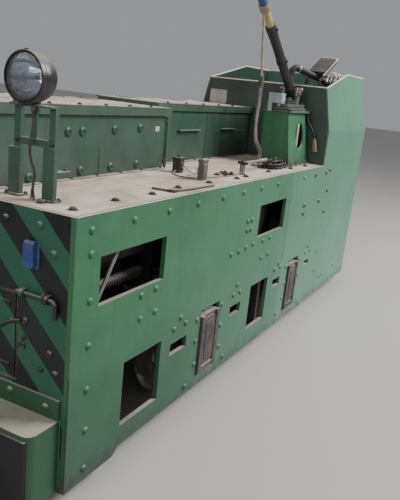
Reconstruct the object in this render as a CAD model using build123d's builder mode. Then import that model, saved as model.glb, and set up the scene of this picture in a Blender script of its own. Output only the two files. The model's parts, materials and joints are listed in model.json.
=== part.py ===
"""Narrow-gauge electric mine locomotive with a pole collector, standing on its wheels.

Millimetres. +X is the front, +Y the vehicle's left, +Z up. The origin is on the floor under
the middle of the whole vehicle. Lengths along the body are measured back from the front face,
widths inboard from the left side plate's outer face, and heights up from the deck's top.
"""
import math
import os

from build123d import *

# Wheels and axles
TREAD_DIA = 600
FLANGE_DEPTH = 22
TYRE_WIDTH = 100
FLANGE_WIDTH = 24
FLANGE_ROOT = 8
WEB_THICKNESS = 34
RIM_THICKNESS = 45
HUB_DIA = 190
HUB_WIDTH = 130
HUB_INSET = 10
AXLE_DIA = 105
JOURNAL_DIA = 80
JOURNAL_LENGTH = 75
JOURNAL_FIT = 1
JOURNAL_SHOULDER = 5
FRONT_AXLE_BACK = 1065
WHEELBASE = 1203

# Body plates
BODY_LENGTH = 3680
BODY_WIDTH = 1000
WHEEL_SIDE_GAP = 32.5
AXLE_BELOW_DECK = 770
SIDE_THICKNESS = 20
SIDE_DEPTH = 985
SIDE_FRONT_DROP = 30
SIDE_FRONT_DROP_LENGTH = 295
END_THICKNESS = 20
DECK_THICKNESS = 12
STRETCHER_THICKNESS = 16
STRETCHER_HEIGHT = 420

# Cab
CAB_FRONT_BACK = 2640
CAB_SHEET = 8
CAB_REAR_SHEET = 12
CAB_KINK_HEIGHT = 231
CAB_FRONT_HEIGHT = 508
CAB_TOP_HEIGHT = 627
CAB_RISE_BACK = 3200
CAB_LEAN = 0.21
CAB_FLOOR_DROP = 420
FLOOR_SHEET = 10
TOP_ANGLE = 30
TOP_ANGLE_THICKNESS = 5

# Doorway and door in the cab's rear wall
DOOR_INBOARD = 110
DOOR_WIDTH = 440
DOOR_HEIGHT = 900
DOOR_THICKNESS = 20
DOOR_SILL_RISE = 20
DOOR_GAP = 6
HINGE_KNUCKLE_GAP = 2

# Hoods on the far half of the deck, and their lids
HOOD_SHEET = 6
HOOD_FAR_GAP = 34
LID_SHEET = 6
LIP_DEPTH = 40
LID_REST_GAP = 1
HINGE_DIA = 18
HINGE_PIN_DIA = 8
HINGE_FIT = 0.6
HINGE_LENGTH = 60
HINGE_STANDOFF = 12
HINGE_LEAF = 5
LEAF_LENGTH = 54

# Beams and couplers at both ends
BEAM_REACH = 150
BEAM_INBOARD = 30
BEAM_TOP_DROP = 725
BEAM_DEPTH = 285
BEAM_SHEET = 12
BEAM_CORNER = 35
UPSTAND_HEIGHT = 76
UPSTAND_THICKNESS = 10
COUPLER_DROP = 865
COUPLER_REACH = 120
COUPLER_WIDTH = 180
COUPLER_HEIGHT = 150
COUPLER_SLOT = 60
COUPLER_SLOT_DEPTH = 90
COUPLER_HOLE_DIA = 42
COUPLER_CORNER = 40
COUPLER_FLANGE = 30
COUPLER_HOLE_REACH = 60

# Front hatch, hung at its right edge, and the slide bolt at its top left corner
HATCH_INBOARD = 240
HATCH_TOP_DROP = 305
HATCH_HEIGHT = 330
HATCH_THICKNESS = 8
HATCH_GAP = 6
HATCH_HINGE_INSET = 70
BOLT_DIA = 16
BOLT_STANDOFF = 12
BOLT_DROP = 295
BOLT_HATCH_GAP = 9
BOLT_END_INBOARD = 62
BOLT_TURN_LENGTH = 60
BOLT_BEND_RADIUS = 22
BOLT_FIT = 0.6
EYE_DIA = 30
EYE_WIDTH = 20
EYE_WIDTHS = (98, 205)

# Blue socket: near and far side inboard, top and bottom below the deck
FRONT_SOCKET = (152, 197, 118, 198)
FRONT_SOCKET_REACH = 24
FRONT_SOCKET_CORNER = 10

# Collector on its pedestal
COLLECTOR_INBOARD = 240
PIVOT_BACK = 2460
PIVOT_HEIGHT = 455
POLE_ANGLE = 35
SOCKET_DIA = 57
SOCKET_LENGTH = 615
WOOD_DIA = 45
WOOD_LENGTH = 600
SHOE_LENGTH = 90
SHOE_WIDTH = 50
PIVOT_PIN_DIA = 20
PIVOT_FIT = 0.6
BOSS_DIA = 62
CHEEK_THICKNESS = 16
CHEEK_WIDTH = 50
CHEEK_GAP = 72
CHEEK_SIDE_GAP = 2
SWIVEL_DIA = 104
SWIVEL_HEIGHT = 24
PIVOT_PIN_REACH = 15
TERMINAL_BACKS = (2202, 2270)
TERMINAL_WIDTHS = (207, 292)
TERMINAL_HEIGHT = 56
TERMINAL_LEG_DEPTH = 10
TERMINAL_LEG_WIDTHS = (264, 291)
TERMINAL_LEG_DROP = 53
PEDESTAL_SHEET = 8
PEDESTAL_HEIGHT = 334
PEDESTAL_HOLE_BACK = 2447
PEDESTAL_HOLE_HEIGHT = 170
PEDESTAL_HOLE_WIDTH = 150
PEDESTAL_HOLE_RISE = 192
SPACER_DIA = 28
SPACER_PITCH = (270, 100)

# The base's stacked plates: bottom and top height, front and rear behind the front face, near and far side
BASE_PLATES = (
    (PEDESTAL_HEIGHT, PEDESTAL_HEIGHT + 12, 2225, 2600, 140, 330),
    (PEDESTAL_HEIGHT + 16, PEDESTAL_HEIGHT + 30, 2228, 2560, 158, 318),
    (PEDESTAL_HEIGHT + 34, PEDESTAL_HEIGHT + 50, 2232, 2560, 172, 318),
)
BASE_TOP = BASE_PLATES[-1][1]

# Bent bar that stands before the pedestal, under the lowered pole
REST_DIA = 21
REST_FOOT_DIA = 90
REST_FOOT_THICKNESS = 10
REST_BEND_RADII = (200, 100, 80, 60)
REST_PATH = (
    (1918, COLLECTOR_INBOARD, 540),
    (1932, COLLECTOR_INBOARD, 400),
    (1918, COLLECTOR_INBOARD, 250),
    (1950, COLLECTOR_INBOARD, 160),
    (2045, COLLECTOR_INBOARD, 90),
    (2045, COLLECTOR_INBOARD, 0),
)
SHOE_NECK = 60
SHOE_HEIGHT = 50
SHOE_RISE = 15
WIRE_GROOVE_DIA = 18

# Cable arm from the collector over the cab's front wall, and the cable tray inside the cab
ARM_DIA = 40
ARM_FOOT_DIA = 46
ARM_FOOT_THICKNESS = 10
ARM_BEND_RADII = (45, 60)
ARM_COLLAR_DIA = 50
ARM_COLLAR_LENGTH = 14
ARM_END = 2860
ARM_PATH = (
    (2525, 285, BASE_TOP),
    (2525, 285, CAB_FRONT_HEIGHT + 122),
    (2800, 126, CAB_FRONT_HEIGHT + 45),
    (2855, 115, CAB_FRONT_HEIGHT + 36),
)
STAY_DIA = 8
STAY_BEND_RADIUS = 20
STAY_PATH = (
    (2584, 251, CAB_FRONT_HEIGHT + 100),
    (2655, 198, CAB_FRONT_HEIGHT + 38),
    (2655, 198, CAB_FRONT_HEIGHT),
)
CAB_CABLE_DIA = 12
COIL_RADIUS = 45
COIL_LENGTH = 470
COIL_INBOARD = 138
TRAY_HEIGHT = CAB_FRONT_HEIGHT + 22
TRAY_FOOT_DEPTH = 45
TRAY_SHEET = 5
TRAY_WIDTH = 195
TRAY_LIP = 12
TRAY_GAP = 15

# Sloping frame for an instrument, on the cab front wall's top
FRAME_WIDTHS = (120, 220)
FRAME_BACK = 2655
FRAME_KNEE = (FRAME_BACK, CAB_FRONT_HEIGHT + 41)
FRAME_TOP = (2975, CAB_FRONT_HEIGHT + 191)
FRAME_BAR = 18
FRAME_SHEET = 8
FRAME_PLATE_DEPTH = 42
FRAME_RAIL_DEPTH = 14
FRAME_RAIL_SHARE = 0.36

# Headlight on its bracket, with the lead to it
LAMP_BACK = 120
LAMP_INBOARD = 288
LAMP_HEIGHT = 405
LAMP_DIA = 168
LAMP_DEPTH = 130
LAMP_WALL = 4
LAMP_FOOT_DIA = 30
LAMP_FOOT_OVERLAP = 14
LAMP_REAR_DIA = 24
LAMP_REAR_INSET = 6
RIM_DEPTH = 22
RIM_STEP = 4
GLASS_DIA = 158
GLASS_THICKNESS = 4
GLASS_SET = 5
GLASS_LEDGE = 3
# how far the bowl's middle arc points lie before its rear, and their share of the rim's radius
BOWL_MIDDLE = (25, 0.62)
STEM_DIA = 16
POST_DEPTH = 18
BRACKET_HEIGHT = 320
BRACKET_TOP_SHEET = 6
CROSSBAR_HEIGHT = 195
CROSSBAR_DEPTH = 24
CROSSBAR_SHEET = 8
LAMP_CABLE_DIA = 9
LAMP_GLAND_DIA = 18
LAMP_GLAND_LENGTH = 12
# The bracket's posts: near side inboard, upper width, lower width, height of the lower half
LAMP_POSTS = ((194, 26, 50, 182), (347, 28, 53, 168))
# The lamp lead's route, from under the bracket's top down to the deck's stub
LAMP_ROUTE = (
    (94, 274, BRACKET_HEIGHT - BRACKET_TOP_SHEET - LAMP_GLAND_LENGTH),
    (94, 274, 264),
    (92, 278, 216),
    (93, 289, 173),
    (95, 281, 131),
    (95, 261, 92),
    (94, 270, 52),
    (94, 270, LAMP_GLAND_LENGTH),
)

# Running gear
AXLEBOX_GAP = 10
AXLEBOX_LENGTH = 180
AXLEBOX_HEIGHT = 300
AXLEBOX_DEPTH = 107
AXLEBOX_PROUD = 12
AXLEBOX_END_WALL = 34
AXLEBOX_RIB = 30
AXLEBOX_POCKET_DEPTH = 10
AXLEBOX_POCKET_RISE = 20
MOTOR_LENGTH = 400
MOTOR_WHEEL_GAP = 52.5
MOTOR_HEIGHT = 400
MOTOR_AXLE_GAP = 110
SLEEVE_DIA = 150
SPRING_DIA = 68
SPRING_HEIGHT = 100
SPRING_SEAT = 12
SPRING_SEAT_INSET = 20
SHOE_GAP = 8
SHOE_THICKNESS = 36
SHOE_FACE = 78
SHOE_FLANGE_GAP = 12
SHOE_ARC = 46
BRAKE_TUBE_DIA = 50
BRAKE_TUBE_RISE = 320
HANGER_WIDTH = 40
HANGER_THICKNESS = 20
HANGER_GAP = 10
HANGER_END_DROP = 30

# Electrical gear under the deck
RESISTOR_BACKS = (200, 640)
RESISTOR_SIDE_GAP = 100
RESISTOR_DROP = 420
RESISTOR_PLATE = 10
RESISTOR_DIA = 44
RESISTOR_COLUMNS = 7
RESISTOR_ROWS = 3
RESISTOR_ROW_PITCH = 107
RESISTOR_CENTRE_DROP = 240
CONTACTOR_BACKS = (1520, 2040)
CONTACTOR_SIDE_GAP = 120
CONTACTOR_DROP = 400

# What stands in the cab
SEAT_BACKS = (3130, 3560)
SEAT_FAR_GAP = 60
SEAT_WIDTH = 380
SEAT_RISE = 400
SEAT_PLATE = 8
SEAT_BACK_HEIGHT = 300
SEAT_BOX_INSETS = (60, 40)
CUSHION_THICKNESS = 60
CUSHION_INSET = 8
CUSHION_GAP = 0.5
CUSHION_CORNER = 30
CUSHION_EDGE = 15
CONTROLLER_BACK = 2800
CONTROLLER_FAR_GAP = 240
CONTROLLER_HEIGHT = 700
CONTROLLER_DIA = 260
CONTROLLER_BOX_WIDTH = 220
CONTROLLER_BOX_STEP = 20
SPINDLE_DIA = 32
SPINDLE_HEIGHT = 50
CRANK_LENGTH = 138
CRANK_WIDTH = 24
CRANK_THICKNESS = 12
KNOB_DIA = 26
KNOB_HEIGHT = 70
BRAKE_BACK = 2800
BRAKE_INBOARD = 420
BRAKE_HEIGHT = 760
BRAKE_POST_DIA = 48
BRAKE_FOOT_DIA = 120
BRAKE_FOOT_THICKNESS = 20
HANDWHEEL_DIA = 300
HANDWHEEL_RIM_DIA = 24
HANDWHEEL_HUB_DIA = 68
HANDWHEEL_HUB_HEIGHT = 40
SPOKE_WIDTH = 18
SPOKE_THICKNESS = 12

# Small fittings on the deck: name, from and to behind the front face, near and far side, height, corner
DECK_BOXES = (
    ("switch_box", 1225, 1270, 335, 380, 72, 6),
    ("deck_block", 1115, 1165, 146, 174, 96, 5),
)

# Sand lever: a post with a long handle
LEVER_BACK = 1560
LEVER_INBOARD = 135
LEVER_POST_DIA = 30
LEVER_POST_HEIGHT = 70
LEVER_DIA = 14
LEVER_LENGTH = 340
LEVER_HEIGHT = 62

# Hoods: name, front and rear behind the front face, near side inboard, height, overhang of the lid
HOODS = (
    ("front_hood", 100, 1310, 490, 304, (30, 25, 20)),
    ("rear_hood", 1362, 2628, 580, 324, (12, 6, 15)),
)
# Hinge places as shares of a hood's length
HINGE_SHARES = (0.15, 0.5, 0.85)
NOTCH_CLEARANCE = 0.5
NOTCH_DEPTH = 1

# Collector pedestal: height, front and rear behind the front face, near and far side inboard
PEDESTAL_SECTIONS = (
    (0, 2240, 2628, 115, 318),
    (PEDESTAL_HEIGHT, 2235, 2550, 160, 322),
)

# Worked-out places
WHEEL_BACK_SPACING = BODY_WIDTH - 2 * (AXLEBOX_DEPTH - AXLEBOX_PROUD + WHEEL_SIDE_GAP + TYRE_WIDTH)
HOOD_FAR_INBOARD = BODY_WIDTH - HOOD_FAR_GAP
CAB_INNER_HALF = BODY_WIDTH / 2 - CAB_SHEET
HALF_WIDTH = BODY_WIDTH / 2
HALF_LENGTH = BODY_LENGTH / 2
AXLE_Z = TREAD_DIA / 2 + FLANGE_DEPTH
DECK_Z = AXLE_Z + AXLE_BELOW_DECK
REAR_AXLE_BACK = FRONT_AXLE_BACK + WHEELBASE
AXLES = (("front", FRONT_AXLE_BACK), ("rear", REAR_AXLE_BACK))
SIDES = (("left", 1), ("right", -1))
ENDS = (("front", 1), ("rear", -1))
CAB_FLOOR = -CAB_FLOOR_DROP
COIL_CENTRE = (COIL_INBOARD, TRAY_HEIGHT + COIL_RADIUS + CAB_CABLE_DIA / 2)


def back(distance):
    """X of a place that far behind the front face."""
    return HALF_LENGTH - distance


def inboard(width):
    """Y of a place that far inboard from the left plate's outer face."""
    return HALF_WIDTH - width


def above(height):
    """Z of a place that high above the deck's top."""
    return DECK_Z + height


def block(backs, widths, heights, mode=Mode.ADD):
    """A box between two distances back, two widths inboard and two heights above the deck."""
    middle = (back(sum(backs) / 2), inboard(sum(widths) / 2), above(sum(heights) / 2))
    with Locations(middle):
        Box(backs[1] - backs[0], widths[1] - widths[0], heights[1] - heights[0], mode=mode)


def place(point):
    """A point given as back, inboard and height."""
    return (back(point[0]), inboard(point[1]), above(point[2]))


def pin(point, diameter, length):
    """An upright round bar, from a place up."""
    with Locations((back(point[0]), inboard(point[1]), above(point[2] + length / 2))):
        Cylinder(diameter / 2, length)


def far(width):
    """Width inboard of a place measured from the right side plate's outer face."""
    return BODY_WIDTH - width


def lean(height):
    """How far the cab's side has leaned in at a height above the deck."""
    return max(0, height - CAB_KINK_HEIGHT) * CAB_LEAN


def cross_plane(distance):
    """A plane across the body, that far behind the front face, with +Y to its right."""
    return Plane(origin=(back(distance), 0, 0), x_dir=(0, 1, 0), z_dir=(1, 0, 0))


def across(distance, height):
    """An axis along +Y, that far back and that high above the deck."""
    return Axis((back(distance), 0, above(height)), (0, 1, 0))


def rod_across(distance, width, height, diameter, length, mode=Mode.ADD):
    """A round bar along Y, centred on a place."""
    with Locations((back(distance), inboard(width), above(height))):
        Cylinder(diameter / 2, length, rotation=(90, 0, 0), mode=mode)


def hinge_axis(face, out, edge, into):
    """Where the axis of a wall's hinge stands, as distance back and width inboard."""
    return (face + out * HINGE_STANDOFF, edge - into * HINGE_DIA / 2)


def hinge_knuckles(face, out, edge, into, heights):
    """The wall's half of its hinges, with their pins: out is 1 rearwards, into 1 inboard of the edge."""
    axis = hinge_axis(face, out, edge, into)
    depths = sorted((face, face + out * (HINGE_STANDOFF + HINGE_DIA / 2)))
    widths = sorted((edge - into * HINGE_DIA, edge - into * (HINGE_DIA - HINGE_LEAF)))
    for height in heights:
        knuckle = height + HINGE_KNUCKLE_GAP
        block(depths, widths, (knuckle, knuckle + HINGE_LENGTH / 2))
        pin((*axis, knuckle), HINGE_DIA, HINGE_LENGTH / 2)
        pin((*axis, height - HINGE_LENGTH / 2), HINGE_PIN_DIA, HINGE_LENGTH)


def hinge_leaves(face, out, edge, into, heights):
    """The door's half of the same hinges, bored for their pins."""
    axis = hinge_axis(face, out, edge, into)
    leaf_end = edge + into * LEAF_LENGTH
    for height in heights:
        leaf = (height - HINGE_LENGTH / 2, height)
        block((axis[0] - HINGE_LEAF / 2, axis[0] + HINGE_LEAF / 2), sorted((axis[1], leaf_end)), leaf)
        block(sorted((face, axis[0])), sorted((edge + into * HINGE_DIA, leaf_end)), leaf)
        with Locations(place((*axis, height - HINGE_LENGTH / 4))):
            Cylinder(HINGE_DIA / 2, HINGE_LENGTH / 2)
            Cylinder(HINGE_PIN_DIA / 2 + HINGE_FIT, HINGE_LENGTH, mode=Mode.SUBTRACT)


os.makedirs("parts", exist_ok=True)

# Openings in each side plate
AXLEBOX_WINDOW = (AXLEBOX_LENGTH / 2 + AXLEBOX_GAP, 587, 940)
# name, from and to behind the front face, top and bottom below the deck
SIDE_OPENINGS = (
    ("front window", 140, 575, 154, 334),
    ("rear window", 1562, 1962, 150, 329),
    ("front well", 330, 607, 620, 895),
    ("middle well", 1567, 1824, 611, 873),
    ("first slot", 690, 837, 667, 722),
    ("second slot", 1307, 1437, 665, 718),
    ("third slot", 1919, 2041, 658, 706),
    ("fourth slot", 2515, 2615, 658, 692),
) + tuple(
    (f"{end} axlebox", axle_back - AXLEBOX_WINDOW[0], axle_back + AXLEBOX_WINDOW[0], *AXLEBOX_WINDOW[1:])
    for end, axle_back in AXLES
)

# Side plates
for side, sign in SIDES:
    with BuildPart() as side_plate:
        with BuildSketch(Plane.XZ.offset(-sign * HALF_WIDTH)):
            with BuildLine():
                Polyline(
                    (back(0), above(0)),
                    (back(0), above(-SIDE_DEPTH - SIDE_FRONT_DROP)),
                    (back(SIDE_FRONT_DROP_LENGTH), above(-SIDE_DEPTH - SIDE_FRONT_DROP)),
                    (back(SIDE_FRONT_DROP_LENGTH + SIDE_FRONT_DROP), above(-SIDE_DEPTH)),
                    (back(BODY_LENGTH), above(-SIDE_DEPTH)),
                    (back(BODY_LENGTH), above(0)),
                    close=True,
                )
            make_face()
            for opening, start, end, top, bottom in SIDE_OPENINGS:
                with Locations((back((start + end) / 2), above(-(top + bottom) / 2))):
                    Rectangle(end - start, bottom - top, mode=Mode.SUBTRACT)
        extrude(amount=sign * SIDE_THICKNESS)
    side_plate.part.label = f"side_plate_{side}"
    export_step(side_plate.part, f"parts/side_plate_{side}.step")

# Front plate with the hatch's opening, its hinges and the slide bolt's eyes
HATCH_HINGES = (0, -1, far(HATCH_INBOARD), -1, (
    -HATCH_TOP_DROP - HATCH_HINGE_INSET,
    -HATCH_TOP_DROP - HATCH_HEIGHT + HATCH_HINGE_INSET,
))
with BuildPart() as front_plate:
    block((0, END_THICKNESS), (SIDE_THICKNESS, BODY_WIDTH - SIDE_THICKNESS),
          (-SIDE_DEPTH - SIDE_FRONT_DROP, 0))
    block((0, END_THICKNESS), (HATCH_INBOARD, far(HATCH_INBOARD)),
          (-HATCH_TOP_DROP - HATCH_HEIGHT, -HATCH_TOP_DROP), mode=Mode.SUBTRACT)
    for width in EYE_WIDTHS:
        block((-BOLT_STANDOFF, 0), (width - EYE_WIDTH / 2, width + EYE_WIDTH / 2),
              (-BOLT_DROP - EYE_DIA / 2, -BOLT_DROP + EYE_DIA / 2))
        rod_across(-BOLT_STANDOFF, width, -BOLT_DROP, EYE_DIA, EYE_WIDTH)
        rod_across(-BOLT_STANDOFF, width, -BOLT_DROP, BOLT_DIA + 2 * BOLT_FIT, EYE_WIDTH, mode=Mode.SUBTRACT)
    hinge_knuckles(*HATCH_HINGES)
front_plate.part.label = "front_plate"
export_step(front_plate.part, "parts/front_plate.step")

# Front hatch, flush in its opening
with BuildPart() as front_hatch:
    block((0, HATCH_THICKNESS), (HATCH_INBOARD + HATCH_GAP, far(HATCH_INBOARD + HATCH_GAP)),
          (-HATCH_TOP_DROP - HATCH_HEIGHT + HATCH_GAP, -HATCH_TOP_DROP - HATCH_GAP))
    hinge_leaves(*HATCH_HINGES)
front_hatch.part.label = "front_hatch"
export_step(front_hatch.part, "parts/front_hatch.step")

# Slide bolt by the hatch's corner, its near end turned down
with BuildPart() as hatch_bolt:
    with BuildLine():
        bolt_path = FilletPolyline(
            place((-BOLT_STANDOFF, HATCH_INBOARD - BOLT_HATCH_GAP, -BOLT_DROP)),
            place((-BOLT_STANDOFF, BOLT_END_INBOARD, -BOLT_DROP)),
            place((-BOLT_STANDOFF, BOLT_END_INBOARD, -BOLT_DROP - BOLT_TURN_LENGTH)),
            radius=BOLT_BEND_RADIUS,
        )
    with BuildSketch(Plane(origin=bolt_path @ 0, z_dir=bolt_path % 0)):
        Circle(BOLT_DIA / 2)
    sweep()
hatch_bolt.part.label = "hatch_bolt"
export_step(hatch_bolt.part, "parts/hatch_bolt.step")

# Blue socket on the front plate
with BuildPart() as front_socket:
    block((-FRONT_SOCKET_REACH, 0), FRONT_SOCKET[:2], (-FRONT_SOCKET[3], -FRONT_SOCKET[2]))
    fillet(front_socket.edges().filter_by(Axis.X), FRONT_SOCKET_CORNER)
front_socket.part.label = "front_socket"
export_step(front_socket.part, "parts/front_socket.step")

# Deck plate between the front plate, the sides and the cab, with the stub that takes the lamp's lead
with BuildPart() as deck_plate:
    block((END_THICKNESS, CAB_FRONT_BACK), (SIDE_THICKNESS, far(SIDE_THICKNESS)), (-DECK_THICKNESS, 0))
    pin((*LAMP_ROUTE[-1][:2], 0), LAMP_GLAND_DIA, LAMP_GLAND_LENGTH)
deck_plate.part.label = "deck_plate"
export_step(deck_plate.part, "parts/deck_plate.step")

# Cross stretchers that carry the motors' noses
MOTOR_BACKS = (
    (FRONT_AXLE_BACK + MOTOR_AXLE_GAP, FRONT_AXLE_BACK + MOTOR_AXLE_GAP + MOTOR_LENGTH),
    (REAR_AXLE_BACK - MOTOR_AXLE_GAP - MOTOR_LENGTH, REAR_AXLE_BACK - MOTOR_AXLE_GAP),
)
STRETCHER_BACKS = (MOTOR_BACKS[0][1], MOTOR_BACKS[1][0] - STRETCHER_THICKNESS)
with BuildPart() as stretchers:
    for start in STRETCHER_BACKS:
        block((start, start + STRETCHER_THICKNESS), (SIDE_THICKNESS, far(SIDE_THICKNESS)),
              (-AXLE_BELOW_DECK - STRETCHER_HEIGHT / 3, -AXLE_BELOW_DECK + STRETCHER_HEIGHT * 2 / 3))
stretchers.part.label = "stretchers"
export_step(stretchers.part, "parts/stretchers.step")


def cab_outline(half_width, top):
    """Half the cab's cross-section, as points from the deck up, for one side."""
    return (
        (half_width, above(0)),
        (half_width, above(CAB_KINK_HEIGHT)),
        (half_width - lean(top), above(top)),
    )


def wall_outline(top, bottom):
    """A cab end wall's outline between the side plates, and between the cab's sides above the deck."""
    between_plates = HALF_WIDTH - SIDE_THICKNESS
    below_deck = ((between_plates, above(bottom)), (between_plates, above(0)))
    left_half = below_deck + cab_outline(CAB_INNER_HALF, top)
    right_half = tuple((-y, z) for y, z in left_half[::-1])
    return left_half + right_half


# Cab side sheets, upright to the kink and leaning in above it
for side, sign in SIDES:
    with BuildPart() as cab_side:
        with BuildSketch(cross_plane(BODY_LENGTH)):
            with BuildLine():
                outer = cab_outline(HALF_WIDTH, CAB_TOP_HEIGHT)
                inner = cab_outline(CAB_INNER_HALF, CAB_TOP_HEIGHT)
                points = [(sign * y, z) for y, z in outer + inner[::-1]]
                Polyline(*points, close=True)
            make_face()
        extrude(amount=BODY_LENGTH - CAB_FRONT_BACK)
        with BuildSketch(Plane.XZ.offset(-BODY_WIDTH)):
            with BuildLine():
                Polyline(
                    (back(CAB_FRONT_BACK - CAB_SHEET), above(CAB_FRONT_HEIGHT)),
                    (back(CAB_FRONT_BACK), above(CAB_FRONT_HEIGHT)),
                    (back(CAB_RISE_BACK), above(CAB_TOP_HEIGHT)),
                    (back(CAB_RISE_BACK), above(CAB_TOP_HEIGHT + CAB_SHEET)),
                    (back(CAB_FRONT_BACK - CAB_SHEET), above(CAB_TOP_HEIGHT + CAB_SHEET)),
                    close=True,
                )
            make_face()
        extrude(amount=2 * BODY_WIDTH, mode=Mode.SUBTRACT)
    cab_side.part.label = f"cab_side_{side}"
    export_step(cab_side.part, f"parts/cab_side_{side}.step")

# Cab front wall from the floor to its stiffened top edge
with BuildPart() as cab_front_wall:
    with BuildSketch(cross_plane(CAB_FRONT_BACK + CAB_SHEET)):
        with BuildLine():
            Polyline(*wall_outline(CAB_FRONT_HEIGHT, CAB_FLOOR - FLOOR_SHEET), close=True)
        make_face()
    extrude(amount=CAB_SHEET)
    top_inset = CAB_SHEET + lean(CAB_FRONT_HEIGHT)
    block((CAB_FRONT_BACK, CAB_FRONT_BACK + TOP_ANGLE), (top_inset, far(top_inset)),
          (CAB_FRONT_HEIGHT - TOP_ANGLE_THICKNESS, CAB_FRONT_HEIGHT))
cab_front_wall.part.label = "cab_front_wall"
export_step(cab_front_wall.part, "parts/cab_front_wall.step")

# Rear plate and cab rear wall in one, with the doorway
DOOR_SILL = CAB_FLOOR + DOOR_SILL_RISE
DOOR_HINGES = (BODY_LENGTH, 1, DOOR_INBOARD, 1, (
    DOOR_SILL + DOOR_HEIGHT / 5,
    DOOR_SILL + DOOR_HEIGHT * 4 / 5,
))
with BuildPart() as rear_wall:
    with BuildSketch(cross_plane(BODY_LENGTH)):
        with BuildLine():
            Polyline(*wall_outline(CAB_TOP_HEIGHT, -SIDE_DEPTH), close=True)
        make_face()
        with Locations((inboard(DOOR_INBOARD + DOOR_WIDTH / 2), above(DOOR_SILL + DOOR_HEIGHT / 2))):
            Rectangle(DOOR_WIDTH, DOOR_HEIGHT, mode=Mode.SUBTRACT)
    extrude(amount=CAB_REAR_SHEET)
    hinge_knuckles(*DOOR_HINGES)
rear_wall.part.label = "rear_wall"
export_step(rear_wall.part, "parts/rear_wall.step")

# Rear door, hung outside on two hinges at its left edge
with BuildPart() as rear_door:
    block((BODY_LENGTH - CAB_REAR_SHEET, BODY_LENGTH - CAB_REAR_SHEET + DOOR_THICKNESS),
          (DOOR_INBOARD + DOOR_GAP, DOOR_INBOARD + DOOR_WIDTH - DOOR_GAP),
          (DOOR_SILL + DOOR_GAP, DOOR_SILL + DOOR_HEIGHT - DOOR_GAP))
    hinge_leaves(*DOOR_HINGES)
rear_door.part.label = "rear_door"
export_step(rear_door.part, "parts/rear_door.step")

# Cab floor
with BuildPart() as cab_floor:
    block((CAB_FRONT_BACK + CAB_SHEET, BODY_LENGTH - CAB_REAR_SHEET), (SIDE_THICKNESS, far(SIDE_THICKNESS)),
          (CAB_FLOOR - FLOOR_SHEET, CAB_FLOOR))
cab_floor.part.label = "cab_floor"
export_step(cab_floor.part, "parts/cab_floor.step")

# Driver's seat: a box on the floor, a plate and a low back, with a loose cushion
SEAT_WIDTHS = (far(SEAT_FAR_GAP + SEAT_WIDTH), far(SEAT_FAR_GAP))
SEAT_LEVEL = CAB_FLOOR + SEAT_RISE
with BuildPart() as driver_seat:
    block((SEAT_BACKS[0] + SEAT_BOX_INSETS[0], SEAT_BACKS[1] - SEAT_BOX_INSETS[1]),
          (SEAT_WIDTHS[0] + SEAT_BOX_INSETS[1], SEAT_WIDTHS[1] - SEAT_BOX_INSETS[1]), (CAB_FLOOR, SEAT_LEVEL))
    block(SEAT_BACKS, SEAT_WIDTHS, (SEAT_LEVEL, SEAT_LEVEL + SEAT_PLATE))
    block((SEAT_BACKS[1] - SEAT_PLATE, SEAT_BACKS[1]), SEAT_WIDTHS,
          (SEAT_LEVEL, SEAT_LEVEL + SEAT_BACK_HEIGHT))
driver_seat.part.label = "driver_seat"
export_step(driver_seat.part, "parts/driver_seat.step")

with BuildPart() as seat_cushion:
    low = SEAT_LEVEL + SEAT_PLATE + CUSHION_GAP
    block((SEAT_BACKS[0] + CUSHION_INSET, SEAT_BACKS[1] - SEAT_PLATE - CUSHION_INSET),
          (SEAT_WIDTHS[0] + CUSHION_INSET, SEAT_WIDTHS[1] - CUSHION_INSET), (low, low + CUSHION_THICKNESS))
    fillet(seat_cushion.edges().filter_by(Axis.Z), CUSHION_CORNER)
    fillet(seat_cushion.faces().sort_by(Axis.Z)[-1].edges(), CUSHION_EDGE)
seat_cushion.part.label = "seat_cushion"
export_step(seat_cushion.part, "parts/seat_cushion.step")

# Drum controller with its crank
CONTROLLER_INBOARD = far(CONTROLLER_FAR_GAP)
CONTROLLER_TOP = CAB_FLOOR + CONTROLLER_HEIGHT
CRANK_LEVEL = CONTROLLER_TOP + SPINDLE_HEIGHT - CRANK_THICKNESS
with BuildPart() as controller:
    pin((CONTROLLER_BACK, CONTROLLER_INBOARD, CAB_FLOOR), CONTROLLER_DIA, CONTROLLER_HEIGHT)
    half = CONTROLLER_BOX_WIDTH / 2
    block((CAB_FRONT_BACK + CAB_SHEET, CONTROLLER_BACK),
          (CONTROLLER_INBOARD - half, CONTROLLER_INBOARD + half),
          (CAB_FLOOR, CONTROLLER_TOP - CONTROLLER_BOX_STEP))
    pin((CONTROLLER_BACK, CONTROLLER_INBOARD, CONTROLLER_TOP), SPINDLE_DIA, SPINDLE_HEIGHT)
    half = CRANK_WIDTH / 2
    block((CONTROLLER_BACK - half, CONTROLLER_BACK + CRANK_LENGTH + half),
          (CONTROLLER_INBOARD - half, CONTROLLER_INBOARD + half),
          (CRANK_LEVEL, CRANK_LEVEL + CRANK_THICKNESS))
    pin((CONTROLLER_BACK + CRANK_LENGTH, CONTROLLER_INBOARD, CRANK_LEVEL + CRANK_THICKNESS),
        KNOB_DIA, KNOB_HEIGHT)
controller.part.label = "controller"
export_step(controller.part, "parts/controller.step")

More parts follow.
